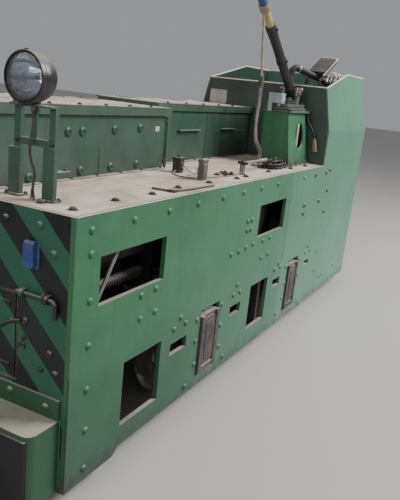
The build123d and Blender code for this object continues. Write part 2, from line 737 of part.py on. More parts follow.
# Brake column with its handwheel
with BuildPart() as brake_column:
    pin((BRAKE_BACK, BRAKE_INBOARD, CAB_FLOOR), BRAKE_POST_DIA, BRAKE_HEIGHT)
    pin((BRAKE_BACK, BRAKE_INBOARD, CAB_FLOOR), BRAKE_FOOT_DIA, BRAKE_FOOT_THICKNESS)
    with Locations(place((BRAKE_BACK, BRAKE_INBOARD, CAB_FLOOR + BRAKE_HEIGHT))):
        Torus((HANDWHEEL_DIA - HANDWHEEL_RIM_DIA) / 2, HANDWHEEL_RIM_DIA / 2)
        Cylinder(HANDWHEEL_HUB_DIA / 2, HANDWHEEL_HUB_HEIGHT)
        for turn in (0, 60, 120):
            Box(HANDWHEEL_DIA - HANDWHEEL_RIM_DIA, SPOKE_WIDTH, SPOKE_THICKNESS, rotation=(0, 0, turn))
brake_column.part.label = "brake_column"
export_step(brake_column.part, "parts/brake_column.step")

# Hoods, open below and above, and their lids, hinged along the far edge
KNUCKLE_OFFSETS = (-HINGE_LENGTH / 2 - HINGE_KNUCKLE_GAP, HINGE_LENGTH / 2 + HINGE_KNUCKLE_GAP)
for name, start, end, near, height, overhang in HOODS:
    hinge_width = HOOD_FAR_INBOARD + HINGE_STANDOFF
    hinge_backs = [start + share * (end - start) for share in HINGE_SHARES]
    with BuildPart() as hood:
        block((start, end), (near, HOOD_FAR_INBOARD), (0, height - LID_REST_GAP))
        block((start + HOOD_SHEET, end - HOOD_SHEET), (near + HOOD_SHEET, HOOD_FAR_INBOARD - HOOD_SHEET),
              (0, height), mode=Mode.SUBTRACT)
        for middle in hinge_backs:
            for offset in KNUCKLE_OFFSETS:
                reach = (middle + offset - HINGE_LENGTH / 4, middle + offset + HINGE_LENGTH / 4)
                block(reach, (HOOD_FAR_INBOARD, hinge_width),
                      (height - 3 * HINGE_DIA, height - HINGE_DIA / 2 + NOTCH_DEPTH))
                with Locations(place((middle + offset, hinge_width, height))):
                    Cylinder(HINGE_DIA / 2, HINGE_LENGTH / 2, rotation=(0, 90, 0))
            with Locations(place((middle, hinge_width, height))):
                Cylinder(HINGE_PIN_DIA / 2, 1.5 * HINGE_LENGTH, rotation=(0, 90, 0))
    hood.part.label = name
    export_step(hood.part, f"parts/{name}.step")
    front_over, rear_over, near_over = overhang
    outer_backs = (start - front_over, end + rear_over)
    with BuildPart() as lid:
        block(outer_backs, (near - near_over, hinge_width), (height, height + LID_SHEET))
        lip = (height + LID_SHEET - LIP_DEPTH, height)
        block((outer_backs[0], outer_backs[0] + LID_SHEET), (near - near_over, HOOD_FAR_INBOARD), lip)
        block((outer_backs[1] - LID_SHEET, outer_backs[1]), (near - near_over, HOOD_FAR_INBOARD), lip)
        block(outer_backs, (near - near_over, near - near_over + LID_SHEET), lip)
        for middle in hinge_backs:
            with Locations(place((middle, hinge_width, height))):
                Cylinder(HINGE_DIA / 2, HINGE_LENGTH / 2, rotation=(0, 90, 0))
                Cylinder(HINGE_PIN_DIA / 2 + HINGE_FIT, HINGE_LENGTH, rotation=(0, 90, 0), mode=Mode.SUBTRACT)
            for offset in KNUCKLE_OFFSETS:
                half = HINGE_LENGTH / 4 + HINGE_KNUCKLE_GAP - NOTCH_CLEARANCE
                notch = (middle + offset - half, middle + offset + half)
                cut = (height - NOTCH_DEPTH, height + LID_SHEET + NOTCH_DEPTH)
                block(notch, (HOOD_FAR_INBOARD, hinge_width + HINGE_DIA), cut, mode=Mode.SUBTRACT)
    lid.part.label = f"{name}_lid"
    export_step(lid.part, f"parts/{name}_lid.step")

# Beams at both ends, open below and behind, with an upstand angle on the end plate
for end, sign in ENDS:
    face = HALF_LENGTH
    width = BODY_WIDTH - 2 * BEAM_INBOARD
    middle = above(-BEAM_TOP_DROP - BEAM_DEPTH / 2)
    with BuildPart() as beam:
        with Locations((sign * (face + BEAM_REACH / 2), 0, middle)):
            Box(BEAM_REACH, width, BEAM_DEPTH)
        outer_end = beam.faces().sort_by(Axis.X)[-1 if sign > 0 else 0]
        fillet(outer_end.edges().filter_by(Axis.Z), BEAM_CORNER)
        with Locations((sign * (face + (BEAM_REACH - BEAM_SHEET) / 2), 0, middle - BEAM_SHEET)):
            Box(BEAM_REACH - BEAM_SHEET, width - 2 * BEAM_SHEET, BEAM_DEPTH, mode=Mode.SUBTRACT)
        upstand_middle = above(-BEAM_TOP_DROP + UPSTAND_HEIGHT / 2)
        with Locations((sign * (face + UPSTAND_THICKNESS / 2), 0, upstand_middle)):
            Box(UPSTAND_THICKNESS, width, UPSTAND_HEIGHT)
    beam.part.label = f"{end}_beam"
    export_step(beam.part, f"parts/{end}_beam.step")

# Couplers: a slotted pocket with an upright pin hole
for end, sign in ENDS:
    with BuildPart() as coupler:
        root = HALF_LENGTH + BEAM_REACH
        with Locations((sign * (root + COUPLER_REACH / 2), 0, above(-COUPLER_DROP))):
            Box(COUPLER_REACH, COUPLER_WIDTH, COUPLER_HEIGHT)
        outer_end = coupler.faces().sort_by(Axis.X)[-1 if sign > 0 else 0]
        fillet(outer_end.edges().filter_by(Axis.Z), COUPLER_CORNER)
        with Locations((sign * (root + COUPLER_REACH - COUPLER_SLOT_DEPTH / 2), 0, above(-COUPLER_DROP))):
            Box(COUPLER_SLOT_DEPTH, COUPLER_WIDTH, COUPLER_SLOT, mode=Mode.SUBTRACT)
        with Locations((sign * (root + COUPLER_HOLE_REACH), 0, above(-COUPLER_DROP))):
            Cylinder(COUPLER_HOLE_DIA / 2, COUPLER_HEIGHT, mode=Mode.SUBTRACT)
        with Locations((sign * (root + BEAM_SHEET / 2), 0, above(-COUPLER_DROP))):
            Box(BEAM_SHEET, COUPLER_WIDTH + 2 * COUPLER_FLANGE, COUPLER_HEIGHT + 2 * COUPLER_FLANGE)
    coupler.part.label = f"{end}_coupler"
    export_step(coupler.part, f"parts/{end}_coupler.step")


def wheel_profile(sign):
    """Half the wheel's section, as points (across, radius), with the flange inside."""
    inner = WHEEL_BACK_SPACING / 2
    tread = TREAD_DIA / 2
    rim = tread - RIM_THICKNESS
    web_in = inner + (TYRE_WIDTH - WEB_THICKNESS) / 2
    hub_in = inner - HUB_INSET
    points = (
        (inner, rim),
        (inner, tread + FLANGE_DEPTH - FLANGE_ROOT),
        (inner + FLANGE_ROOT, tread + FLANGE_DEPTH),
        (inner + FLANGE_WIDTH - FLANGE_ROOT, tread + FLANGE_DEPTH),
        (inner + FLANGE_WIDTH, tread + FLANGE_ROOT),
        (inner + FLANGE_WIDTH + FLANGE_ROOT, tread),
        (inner + TYRE_WIDTH, tread),
        (inner + TYRE_WIDTH, rim),
        (web_in + WEB_THICKNESS, rim),
        (web_in + WEB_THICKNESS, HUB_DIA / 2),
        (hub_in + HUB_WIDTH, HUB_DIA / 2),
        (hub_in + HUB_WIDTH, AXLE_DIA / 2),
        (hub_in, AXLE_DIA / 2),
        (hub_in, HUB_DIA / 2),
        (web_in, HUB_DIA / 2),
        (web_in, rim),
    )
    return [(sign * y, radius) for y, radius in points]


# Wheelsets
JOURNAL_START = HALF_WIDTH + AXLEBOX_PROUD - AXLEBOX_DEPTH - JOURNAL_SHOULDER
for end, axle_back in AXLES:
    axle_plane = Plane(origin=(back(axle_back), 0, AXLE_Z), x_dir=(0, 1, 0), z_dir=(1, 0, 0))
    with BuildPart() as axle:
        rod_across(axle_back, HALF_WIDTH, AXLE_Z - DECK_Z, AXLE_DIA, 2 * JOURNAL_START)
        rod_across(axle_back, HALF_WIDTH, AXLE_Z - DECK_Z, JOURNAL_DIA, 2 * (JOURNAL_START + JOURNAL_LENGTH))
    axle.part.label = f"{end}_axle"
    export_step(axle.part, f"parts/{end}_axle.step")
    with BuildPart() as wheels:
        with BuildSketch(axle_plane):
            for side, sign in SIDES:
                with BuildLine():
                    Polyline(*wheel_profile(sign), close=True)
                make_face()
        revolve(axis=across(axle_back, AXLE_Z - DECK_Z))
    wheels.part.label = f"{end}_wheels"
    export_step(wheels.part, f"parts/{end}_wheels.step")

# Axleboxes in the side plates' openings
AXLEBOX_TOP = AXLEBOX_HEIGHT / 2
with BuildPart() as axleboxes:
    outer = HALF_WIDTH + AXLEBOX_PROUD
    for end, axle_back in AXLES:
        for side, sign in SIDES:
            with Locations((back(axle_back), sign * (outer - AXLEBOX_DEPTH / 2), AXLE_Z)):
                Box(AXLEBOX_LENGTH, AXLEBOX_DEPTH, AXLEBOX_HEIGHT)
            with Locations((back(axle_back), sign * (outer - AXLEBOX_END_WALL - AXLEBOX_DEPTH / 2), AXLE_Z)):
                Cylinder(JOURNAL_DIA / 2 + JOURNAL_FIT, AXLEBOX_DEPTH, rotation=(90, 0, 0),
                         mode=Mode.SUBTRACT)
            with Locations((back(axle_back), sign * outer, AXLE_Z + AXLEBOX_POCKET_RISE)):
                Box(AXLEBOX_LENGTH - 2 * AXLEBOX_RIB, 2 * AXLEBOX_POCKET_DEPTH,
                    AXLEBOX_HEIGHT - AXLEBOX_POCKET_RISE, mode=Mode.SUBTRACT)
axleboxes.part.label = "axleboxes"
export_step(axleboxes.part, "parts/axleboxes.step")

# Springs on the axleboxes, under seats on the side plates
with BuildPart() as axle_springs:
    for end, axle_back in AXLES:
        for side, sign in SIDES:
            seat_inner = HALF_WIDTH + AXLEBOX_PROUD - AXLEBOX_DEPTH
            seat_outer = HALF_WIDTH - SIDE_THICKNESS
            seat_y = sign * (seat_inner + seat_outer) / 2
            with Locations((back(axle_back), seat_y, AXLE_Z + AXLEBOX_TOP + SPRING_HEIGHT / 2)):
                Cylinder(SPRING_DIA / 2, SPRING_HEIGHT)
            with Locations((back(axle_back), seat_y,
                            AXLE_Z + AXLEBOX_TOP + SPRING_HEIGHT + SPRING_SEAT / 2)):
                Box(AXLEBOX_LENGTH - 2 * SPRING_SEAT_INSET, seat_outer - seat_inner, SPRING_SEAT)
axle_springs.part.label = "axle_springs"
export_step(axle_springs.part, "parts/axle_springs.step")

# Traction motors hung between axle and stretcher
MOTOR_WIDTH = WHEEL_BACK_SPACING - 2 * MOTOR_WHEEL_GAP
with BuildPart() as motors:
    for (start, end), (name, axle_back) in zip(MOTOR_BACKS, AXLES):
        half = MOTOR_WIDTH / 2
        block((start, end), (HALF_WIDTH - half, HALF_WIDTH + half),
              (-AXLE_BELOW_DECK - MOTOR_HEIGHT / 2, -AXLE_BELOW_DECK + MOTOR_HEIGHT / 2))
        sleeve = sorted((axle_back, (start + end) / 2))
        block(sleeve, (HALF_WIDTH - half, HALF_WIDTH + half),
              (-AXLE_BELOW_DECK - SLEEVE_DIA / 2, -AXLE_BELOW_DECK + SLEEVE_DIA / 2))
        rod_across(axle_back, HALF_WIDTH, -AXLE_BELOW_DECK, SLEEVE_DIA, MOTOR_WIDTH)
    for name, axle_back in AXLES:
        rod_across(axle_back, HALF_WIDTH, -AXLE_BELOW_DECK, AXLE_DIA + 2 * JOURNAL_FIT, MOTOR_WIDTH,
                   mode=Mode.SUBTRACT)
motors.part.label = "motors"
export_step(motors.part, "parts/motors.step")

# Brake gear: a cross tube, hangers and shoes ahead of each wheelset
SHOE_RADIUS = TREAD_DIA / 2 + SHOE_GAP
with BuildPart() as brake_gear:
    for end, axle_back in AXLES:
        tube_back = axle_back - SHOE_RADIUS - SHOE_THICKNESS
        tube_height = -AXLE_BELOW_DECK + BRAKE_TUBE_RISE
        rod_across(tube_back, HALF_WIDTH, tube_height, BRAKE_TUBE_DIA, BODY_WIDTH - 2 * SIDE_THICKNESS)
        for side, sign in SIDES:
            hanger_width = HALF_WIDTH - sign * (WHEEL_BACK_SPACING / 2 + TYRE_WIDTH + HANGER_GAP)
            block((tube_back - HANGER_THICKNESS / 2, tube_back + HANGER_THICKNESS / 2),
                  (hanger_width - HANGER_WIDTH / 2, hanger_width + HANGER_WIDTH / 2),
                  (-AXLE_BELOW_DECK - HANGER_END_DROP, tube_height))
            start_y = sign * (WHEEL_BACK_SPACING / 2 + FLANGE_WIDTH + SHOE_FLANGE_GAP)
            with BuildSketch(Plane.XZ.offset(-start_y)):
                with Locations((back(axle_back), AXLE_Z)):
                    Circle(SHOE_RADIUS + SHOE_THICKNESS)
                    Circle(SHOE_RADIUS, mode=Mode.SUBTRACT)
                with Locations((back(axle_back) + SHOE_RADIUS + SHOE_THICKNESS, AXLE_Z)):
                    Rectangle(4 * SHOE_THICKNESS, 2 * SHOE_RADIUS * math.sin(math.radians(SHOE_ARC / 2)),
                              mode=Mode.INTERSECT)
            extrude(amount=-sign * SHOE_FACE)
brake_gear.part.label = "brake_gear"
export_step(brake_gear.part, "parts/brake_gear.step")

# Resistor bank behind the front windows: two plates hung from the deck, and rows of tubes between them
with BuildPart() as resistor_plates:
    for middle in RESISTOR_BACKS:
        block((middle - RESISTOR_PLATE / 2, middle + RESISTOR_PLATE / 2),
              (RESISTOR_SIDE_GAP, far(RESISTOR_SIDE_GAP)), (-RESISTOR_DROP, -DECK_THICKNESS))
resistor_plates.part.label = "resistor_plates"
export_step(resistor_plates.part, "parts/resistor_plates.step")

RESISTOR_LENGTH = RESISTOR_BACKS[1] - RESISTOR_BACKS[0] - RESISTOR_PLATE
with BuildPart() as resistor_tubes:
    column_pitch = (BODY_WIDTH - 2 * RESISTOR_SIDE_GAP) / RESISTOR_COLUMNS
    with Locations((back(sum(RESISTOR_BACKS) / 2), 0, above(-RESISTOR_CENTRE_DROP))):
        for row in range(RESISTOR_ROWS):
            for column in range(RESISTOR_COLUMNS):
                y = (column - (RESISTOR_COLUMNS - 1) / 2) * column_pitch
                z = (row - (RESISTOR_ROWS - 1) / 2) * RESISTOR_ROW_PITCH
                with Locations((0, y, z)):
                    Cylinder(RESISTOR_DIA / 2, RESISTOR_LENGTH, rotation=(0, 90, 0))
resistor_tubes.part.label = "resistor_tubes"
export_step(resistor_tubes.part, "parts/resistor_tubes.step")

# Contactor box behind the rear windows, hung from the deck
with BuildPart() as contactor_box:
    block(CONTACTOR_BACKS, (CONTACTOR_SIDE_GAP, far(CONTACTOR_SIDE_GAP)), (-CONTACTOR_DROP, -DECK_THICKNESS))
contactor_box.part.label = "contactor_box"
export_step(contactor_box.part, "parts/contactor_box.step")

# Headlight bracket: two posts with wider lower halves, a top plate, a crossbar, a stem and the lead's gland
BRACKET_FRONT = LAMP_BACK - POST_DEPTH / 2
with BuildPart() as headlight_bracket:
    bracket_widths = (LAMP_POSTS[0][0], LAMP_POSTS[1][0] + LAMP_POSTS[1][1])
    depths = (BRACKET_FRONT, BRACKET_FRONT + POST_DEPTH)
    for near, upper, lower, lower_height in LAMP_POSTS:
        block(depths, (near, near + upper), (0, BRACKET_HEIGHT))
        block(depths, (near, near + lower), (0, lower_height))
    top_sheet = (BRACKET_HEIGHT - BRACKET_TOP_SHEET, BRACKET_HEIGHT)
    block((LAMP_ROUTE[0][0] - LAMP_GLAND_DIA / 2, BRACKET_FRONT + POST_DEPTH), bracket_widths, top_sheet)
    block((BRACKET_FRONT, BRACKET_FRONT + CROSSBAR_SHEET), bracket_widths,
          (CROSSBAR_HEIGHT - CROSSBAR_DEPTH / 2, CROSSBAR_HEIGHT + CROSSBAR_DEPTH / 2))
    stem_height = CROSSBAR_HEIGHT - CROSSBAR_DEPTH / 2
    pin((LAMP_BACK, LAMP_INBOARD, stem_height), STEM_DIA, BRACKET_HEIGHT - stem_height)
    pin(LAMP_ROUTE[0], LAMP_GLAND_DIA, LAMP_GLAND_LENGTH)
headlight_bracket.part.label = "headlight_bracket"
export_step(headlight_bracket.part, "parts/headlight_bracket.step")

# Headlight: a bowl on a foot, with a rim, open to the front, and its glass
LAMP_CENTRE = (LAMP_BACK, LAMP_INBOARD, LAMP_HEIGHT)
lamp_plane = Plane(origin=place(LAMP_CENTRE), x_dir=(1, 0, 0), z_dir=(0, -1, 0))
with BuildPart() as headlight:
    front = LAMP_DEPTH / 2
    rim = LAMP_DIA / 2
    seat = GLASS_DIA / 2
    rear = -front + LAMP_REAR_INSET
    bowl_end = (rear, LAMP_REAR_DIA / 2)
    bowl_start = (front - RIM_DEPTH, rim - RIM_STEP)
    inner_end = (rear + LAMP_WALL, LAMP_REAR_DIA / 2 - LAMP_WALL / 2)
    inner_start = (front - RIM_DEPTH, seat - GLASS_LEDGE)
    outer_middle = (-front + BOWL_MIDDLE[0], rim * BOWL_MIDDLE[1])
    inner_middle = (outer_middle[0] + LAMP_WALL, outer_middle[1] - LAMP_WALL)
    with BuildSketch(lamp_plane):
        with BuildLine():
            Polyline((front, seat), (front, rim), (front - RIM_DEPTH, rim), bowl_start)
            ThreePointArc(bowl_start, outer_middle, bowl_end)
            Line(bowl_end, inner_end)
            ThreePointArc(inner_end, inner_middle, inner_start)
            glass_back = front - GLASS_SET
            Polyline(inner_start, (glass_back, seat - GLASS_LEDGE), (glass_back, seat), (front, seat))
        make_face()
    revolve(axis=Axis(place(LAMP_CENTRE), (1, 0, 0)))
    with Locations((back(LAMP_BACK) + rear + LAMP_WALL / 2, inboard(LAMP_INBOARD), above(LAMP_HEIGHT))):
        Cylinder(LAMP_REAR_DIA / 2, LAMP_WALL, rotation=(0, 90, 0))
    foot_rise = LAMP_HEIGHT - rim + LAMP_FOOT_OVERLAP - BRACKET_HEIGHT
    pin((LAMP_BACK, LAMP_INBOARD, BRACKET_HEIGHT), LAMP_FOOT_DIA, foot_rise)
headlight.part.label = "headlight"
export_step(headlight.part, "parts/headlight.step")

with BuildPart() as headlight_glass:
    glass_x = back(LAMP_BACK) + LAMP_DEPTH / 2 - GLASS_SET + GLASS_THICKNESS / 2
    with Locations((glass_x, inboard(LAMP_INBOARD), above(LAMP_HEIGHT))):
        Cylinder(GLASS_DIA / 2, GLASS_THICKNESS, rotation=(0, 90, 0))
headlight_glass.part.label = "headlight_glass"
export_step(headlight_glass.part, "parts/headlight_glass.step")


def route_radii(points):
    """For each corner of a cord's route, the largest arc that its two runs allow."""
    corners = [Vector(*place(point)) for point in points]
    radii = []
    for before, corner, after in zip(corners, corners[1:], corners[2:]):
        turn = math.radians((corner - before).get_angle(after - corner))
        shorter = min((corner - before).length, (after - corner).length)
        radii.append(0.45 * shorter / math.tan(turn / 2))
    return radii


# The lead from the headlight down to the deck
lamp_radii = route_radii(LAMP_ROUTE)
print("lamp cable radii", [round(radius) for radius in lamp_radii])
with BuildPart() as lamp_cable:
    with BuildLine():
        lead = FilletPolyline(*[place(point) for point in LAMP_ROUTE], radius=lamp_radii)
    with BuildSketch(Plane(origin=lead @ 0, z_dir=lead % 0)):
        Circle(LAMP_CABLE_DIA / 2)
    sweep()
print("lamp cable length", round(lead.length), "volume share",
      round(lamp_cable.part.volume / (math.pi * LAMP_CABLE_DIA**2 / 4 * lead.length), 4))
lamp_cable.part.label = "lamp_cable"
export_step(lamp_cable.part, "parts/lamp_cable.step")

# Collector pedestal: a tapering plate box, open below, with a round-ended hole in its left side
with BuildPart() as collector_pedestal:
    for wall, mode in ((0, Mode.ADD), (PEDESTAL_SHEET, Mode.SUBTRACT)):
        for height, start, end, near, far_side in PEDESTAL_SECTIONS:
            level = above(height - (wall if height else 0))
            with BuildSketch(Plane.XY.offset(level)):
                with Locations((back((start + end) / 2), inboard((near + far_side) / 2))):
                    Rectangle(end - start - 2 * wall, far_side - near - 2 * wall)
        loft(mode=mode)
    with BuildSketch(Plane.XZ.offset(-inboard(0))):
        with Locations((back(PEDESTAL_HOLE_BACK), above(PEDESTAL_HOLE_RISE))):
            SlotOverall(PEDESTAL_HOLE_HEIGHT, PEDESTAL_HOLE_WIDTH, rotation=90)
    extrude(amount=COLLECTOR_INBOARD, mode=Mode.SUBTRACT)
collector_pedestal.part.label = "collector_pedestal"
export_step(collector_pedestal.part, "parts/collector_pedestal.step")

# Collector base: stacked plates on spacers, a swivel disc and two cheeks with the pivot pin
with BuildPart() as collector_base:
    for low, high, start, end, near, far_side in BASE_PLATES:
        block((start, end), (near, far_side), (low, high))
    spacer_ends = (BASE_PLATES[0][1], BASE_PLATES[-1][0])
    spacer_middle = ((start + end) / 2, (near + far_side) / 2, sum(spacer_ends) / 2)
    with Locations(place(spacer_middle)):
        with GridLocations(*SPACER_PITCH, 2, 2):
            Cylinder(SPACER_DIA / 2, spacer_ends[1] - spacer_ends[0])
    pin((PIVOT_BACK, COLLECTOR_INBOARD, BASE_TOP), SWIVEL_DIA, SWIVEL_HEIGHT)
    for sign in (1, -1):
        width = COLLECTOR_INBOARD + sign * (CHEEK_GAP + CHEEK_THICKNESS) / 2
        block((PIVOT_BACK - CHEEK_WIDTH / 2, PIVOT_BACK + CHEEK_WIDTH / 2),
              (width - CHEEK_THICKNESS / 2, width + CHEEK_THICKNESS / 2), (BASE_TOP, PIVOT_HEIGHT))
        rod_across(PIVOT_BACK, width, PIVOT_HEIGHT, CHEEK_WIDTH, CHEEK_THICKNESS)
    rod_across(PIVOT_BACK, COLLECTOR_INBOARD, PIVOT_HEIGHT, PIVOT_PIN_DIA,
               CHEEK_GAP + 2 * CHEEK_THICKNESS + 2 * PIVOT_PIN_REACH)
collector_base.part.label = "collector_base"
export_step(collector_base.part, "parts/collector_base.step")

# Grey terminal box on the base, with a leg in front
with BuildPart() as terminal_box:
    block(TERMINAL_BACKS, TERMINAL_WIDTHS, (BASE_TOP, BASE_TOP + TERMINAL_HEIGHT))
    block((TERMINAL_BACKS[0], TERMINAL_BACKS[0] + TERMINAL_LEG_DEPTH), TERMINAL_LEG_WIDTHS,
          (BASE_TOP - TERMINAL_LEG_DROP, BASE_TOP))
terminal_box.part.label = "terminal_box"
export_step(terminal_box.part, "parts/terminal_box.step")


def along_pole(distance):
    """A point on the pole's axis, that far from its pivot."""
    angle = math.radians(POLE_ANGLE)
    return (
        back(PIVOT_BACK) + distance * math.cos(angle),
        inboard(COLLECTOR_INBOARD),
        above(PIVOT_HEIGHT) + distance * math.sin(angle),
    )


# Collector pole: a steel socket on the pivot, a wooden pole and a grooved shoe
POLE_TURN = 90 - POLE_ANGLE
with BuildPart() as pole_socket:
    with Locations(along_pole(SOCKET_LENGTH / 2)):
        Cylinder(SOCKET_DIA / 2, SOCKET_LENGTH, rotation=(0, POLE_TURN, 0))
    boss_width = CHEEK_GAP - 2 * CHEEK_SIDE_GAP
    rod_across(PIVOT_BACK, COLLECTOR_INBOARD, PIVOT_HEIGHT, BOSS_DIA, boss_width)
    rod_across(PIVOT_BACK, COLLECTOR_INBOARD, PIVOT_HEIGHT, PIVOT_PIN_DIA + 2 * PIVOT_FIT, boss_width,
               mode=Mode.SUBTRACT)
pole_socket.part.label = "pole_socket"
export_step(pole_socket.part, "parts/pole_socket.step")

with BuildPart() as pole_wood:
    with Locations(along_pole(SOCKET_LENGTH + WOOD_LENGTH / 2)):
        Cylinder(WOOD_DIA / 2, WOOD_LENGTH, rotation=(0, POLE_TURN, 0))
pole_wood.part.label = "pole_wood"
export_step(pole_wood.part, "parts/pole_wood.step")

with BuildPart() as pole_shoe:
    with Locations(along_pole(SOCKET_LENGTH + WOOD_LENGTH + SHOE_NECK / 2)):
        Cylinder(SHOE_NECK / 2, SHOE_NECK, rotation=(0, POLE_TURN, 0))
    tip = along_pole(SOCKET_LENGTH + WOOD_LENGTH + SHOE_NECK)
    with Locations((tip[0], tip[1], tip[2] + SHOE_RISE)):
        Box(SHOE_LENGTH, SHOE_WIDTH, SHOE_HEIGHT)
        with Locations((0, 0, SHOE_HEIGHT / 2)):
            Cylinder(WIRE_GROOVE_DIA / 2, SHOE_LENGTH, rotation=(0, 90, 0), mode=Mode.SUBTRACT)
pole_shoe.part.label = "pole_shoe"
export_step(pole_shoe.part, "parts/pole_shoe.step")

# Bent bar before the pedestal, just under the lowered pole
with BuildPart() as pole_rest:
    with BuildLine():
        rest_path = FilletPolyline(*[place(point) for point in REST_PATH], radius=REST_BEND_RADII)
    with BuildSketch(Plane(origin=rest_path @ 0, z_dir=rest_path % 0)):
        Circle(REST_DIA / 2)
    sweep()
    pin(REST_PATH[-1], REST_FOOT_DIA, REST_FOOT_THICKNESS)
pole_rest.part.label = "pole_rest"
export_step(pole_rest.part, "parts/pole_rest.step")

# Cable arm: a duct that rises from the base and slopes back over the cab's front wall, with a stay
with BuildPart() as cable_arm:
    with BuildLine():
        duct = FilletPolyline(*[place(point) for point in ARM_PATH], radius=ARM_BEND_RADII)
    with BuildSketch(Plane(origin=duct @ 0, z_dir=duct % 0)):
        Circle(ARM_DIA / 2)
    sweep()
    pin(ARM_PATH[0], ARM_FOOT_DIA, ARM_FOOT_THICKNESS)
    end_x = back(ARM_END) + ARM_COLLAR_LENGTH / 2
    with Locations((end_x, inboard(ARM_PATH[-1][1]), above(ARM_PATH[-1][2]))):
        Cylinder(ARM_COLLAR_DIA / 2, ARM_COLLAR_LENGTH, rotation=(0, 90, 0))
    with BuildLine():
        stay = FilletPolyline(*[place(point) for point in STAY_PATH], radius=STAY_BEND_RADIUS)
    with BuildSketch(Plane(origin=stay @ 0, z_dir=stay % 0)):
        Circle(STAY_DIA / 2)
    sweep(path=stay)
cable_arm.part.label = "cable_arm"
export_step(cable_arm.part, "parts/cable_arm.step")


def wall_inside(height):
    """Inboard width of the near cab side's inner face, at a height above the deck."""
    return CAB_SHEET + lean(height)


# Cable tray on the near cab side's inner face
TRAY_BACKS = (ARM_END + TRAY_GAP, ARM_END + COIL_LENGTH)
FOOT_HEIGHT = TRAY_HEIGHT - TRAY_FOOT_DEPTH
# width inboard and height of each corner of the tray's section
TRAY_SECTION = (
    (wall_inside(FOOT_HEIGHT), FOOT_HEIGHT),
    (wall_inside(TRAY_HEIGHT), TRAY_HEIGHT),
    (TRAY_WIDTH, TRAY_HEIGHT),
    (TRAY_WIDTH, TRAY_HEIGHT + TRAY_LIP),
    (TRAY_WIDTH + TRAY_SHEET, TRAY_HEIGHT + TRAY_LIP),
    (TRAY_WIDTH + TRAY_SHEET, TRAY_HEIGHT - TRAY_SHEET),
    (wall_inside(TRAY_HEIGHT) + TRAY_SHEET, TRAY_HEIGHT - TRAY_SHEET),
    (wall_inside(FOOT_HEIGHT) + TRAY_SHEET, FOOT_HEIGHT),
)
with BuildPart() as cable_tray:
    with BuildSketch(cross_plane(TRAY_BACKS[1])):
        with BuildLine():
            Polyline(*[(inboard(width), above(height)) for width, height in TRAY_SECTION], close=True)
        make_face()
    extrude(amount=TRAY_BACKS[1] - TRAY_BACKS[0])
    block((TRAY_BACKS[1], TRAY_BACKS[1] + TRAY_SHEET),
          (wall_inside(COIL_CENTRE[1] + COIL_RADIUS), TRAY_WIDTH + TRAY_SHEET),
          (TRAY_HEIGHT - TRAY_SHEET, COIL_CENTRE[1] + COIL_RADIUS))
cable_tray.part.label = "cable_tray"
export_step(cable_tray.part, "parts/cable_tray.step")

# The cab's coiled cable, as the space that its turns fill, from the arm's collar to the tray's end plate
with BuildPart() as cab_cable:
    with Locations(place((sum(TRAY_BACKS) / 2 - TRAY_GAP / 2, *COIL_CENTRE))):
        Cylinder(COIL_RADIUS + CAB_CABLE_DIA / 2, COIL_LENGTH, rotation=(0, 90, 0))
cab_cable.part.label = "cab_cable"
export_step(cab_cable.part, "parts/cab_cable.step")

# Instrument frame: two bent side bars with a plate and a rail between them
frame_rise = FRAME_TOP[1] - FRAME_KNEE[1]
frame_length = math.hypot(FRAME_TOP[0] - FRAME_KNEE[0], frame_rise)
frame_turn = math.degrees(math.atan2(frame_rise, FRAME_TOP[0] - FRAME_KNEE[0]))
with BuildPart() as instrument_frame:
    for near in (FRAME_WIDTHS[0], FRAME_WIDTHS[1] - FRAME_SHEET):
        block((FRAME_BACK - FRAME_BAR / 2, FRAME_BACK + FRAME_BAR / 2), (near, near + FRAME_SHEET),
              (CAB_FRONT_HEIGHT, FRAME_KNEE[1]))
        middle = ((FRAME_KNEE[0] + FRAME_TOP[0]) / 2, near + FRAME_SHEET / 2, FRAME_KNEE[1] + frame_rise / 2)
        with Locations(place(middle)):
            Box(frame_length, FRAME_SHEET, FRAME_BAR, rotation=(0, frame_turn, 0))
    plate_share = 1 - FRAME_PLATE_DEPTH / 2 / frame_length
    for share, depth in ((plate_share, FRAME_PLATE_DEPTH), (FRAME_RAIL_SHARE, FRAME_RAIL_DEPTH)):
        middle = [low + share * (high - low) for low, high in zip(FRAME_KNEE, FRAME_TOP)]
        with Locations(place((middle[0], sum(FRAME_WIDTHS) / 2, middle[1]))):
            Box(depth, FRAME_WIDTHS[1] - FRAME_WIDTHS[0], FRAME_SHEET, rotation=(0, frame_turn, 0))
instrument_frame.part.label = "instrument_frame"
export_step(instrument_frame.part, "parts/instrument_frame.step")

# Switch box and block on the deck
for name, start, end, near, far_side, height, corner in DECK_BOXES:
    with BuildPart() as deck_box:
        block((start, end), (near, far_side), (0, height))
        fillet(deck_box.edges().filter_by(Axis.Z), corner)
    deck_box.part.label = name
    export_step(deck_box.part, f"parts/{name}.step")

# Sand lever
with BuildPart() as sand_lever:
    pin((LEVER_BACK, LEVER_INBOARD, 0), LEVER_POST_DIA, LEVER_POST_HEIGHT)
    with Locations(place((LEVER_BACK + LEVER_LENGTH / 2, LEVER_INBOARD, LEVER_HEIGHT))):
        Cylinder(LEVER_DIA / 2, LEVER_LENGTH, rotation=(0, 90, 0))
sand_lever.part.label = "sand_lever"
export_step(sand_lever.part, "parts/sand_lever.step")
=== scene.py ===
"""Finish for a narrow-gauge electric mine locomotive, laid out as an add-on.

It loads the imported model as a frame, gives each part its paint, iron or rubber, adds the
rivets, bolts, cables and small fittings, and sets up a plain stage with a camera.
"""

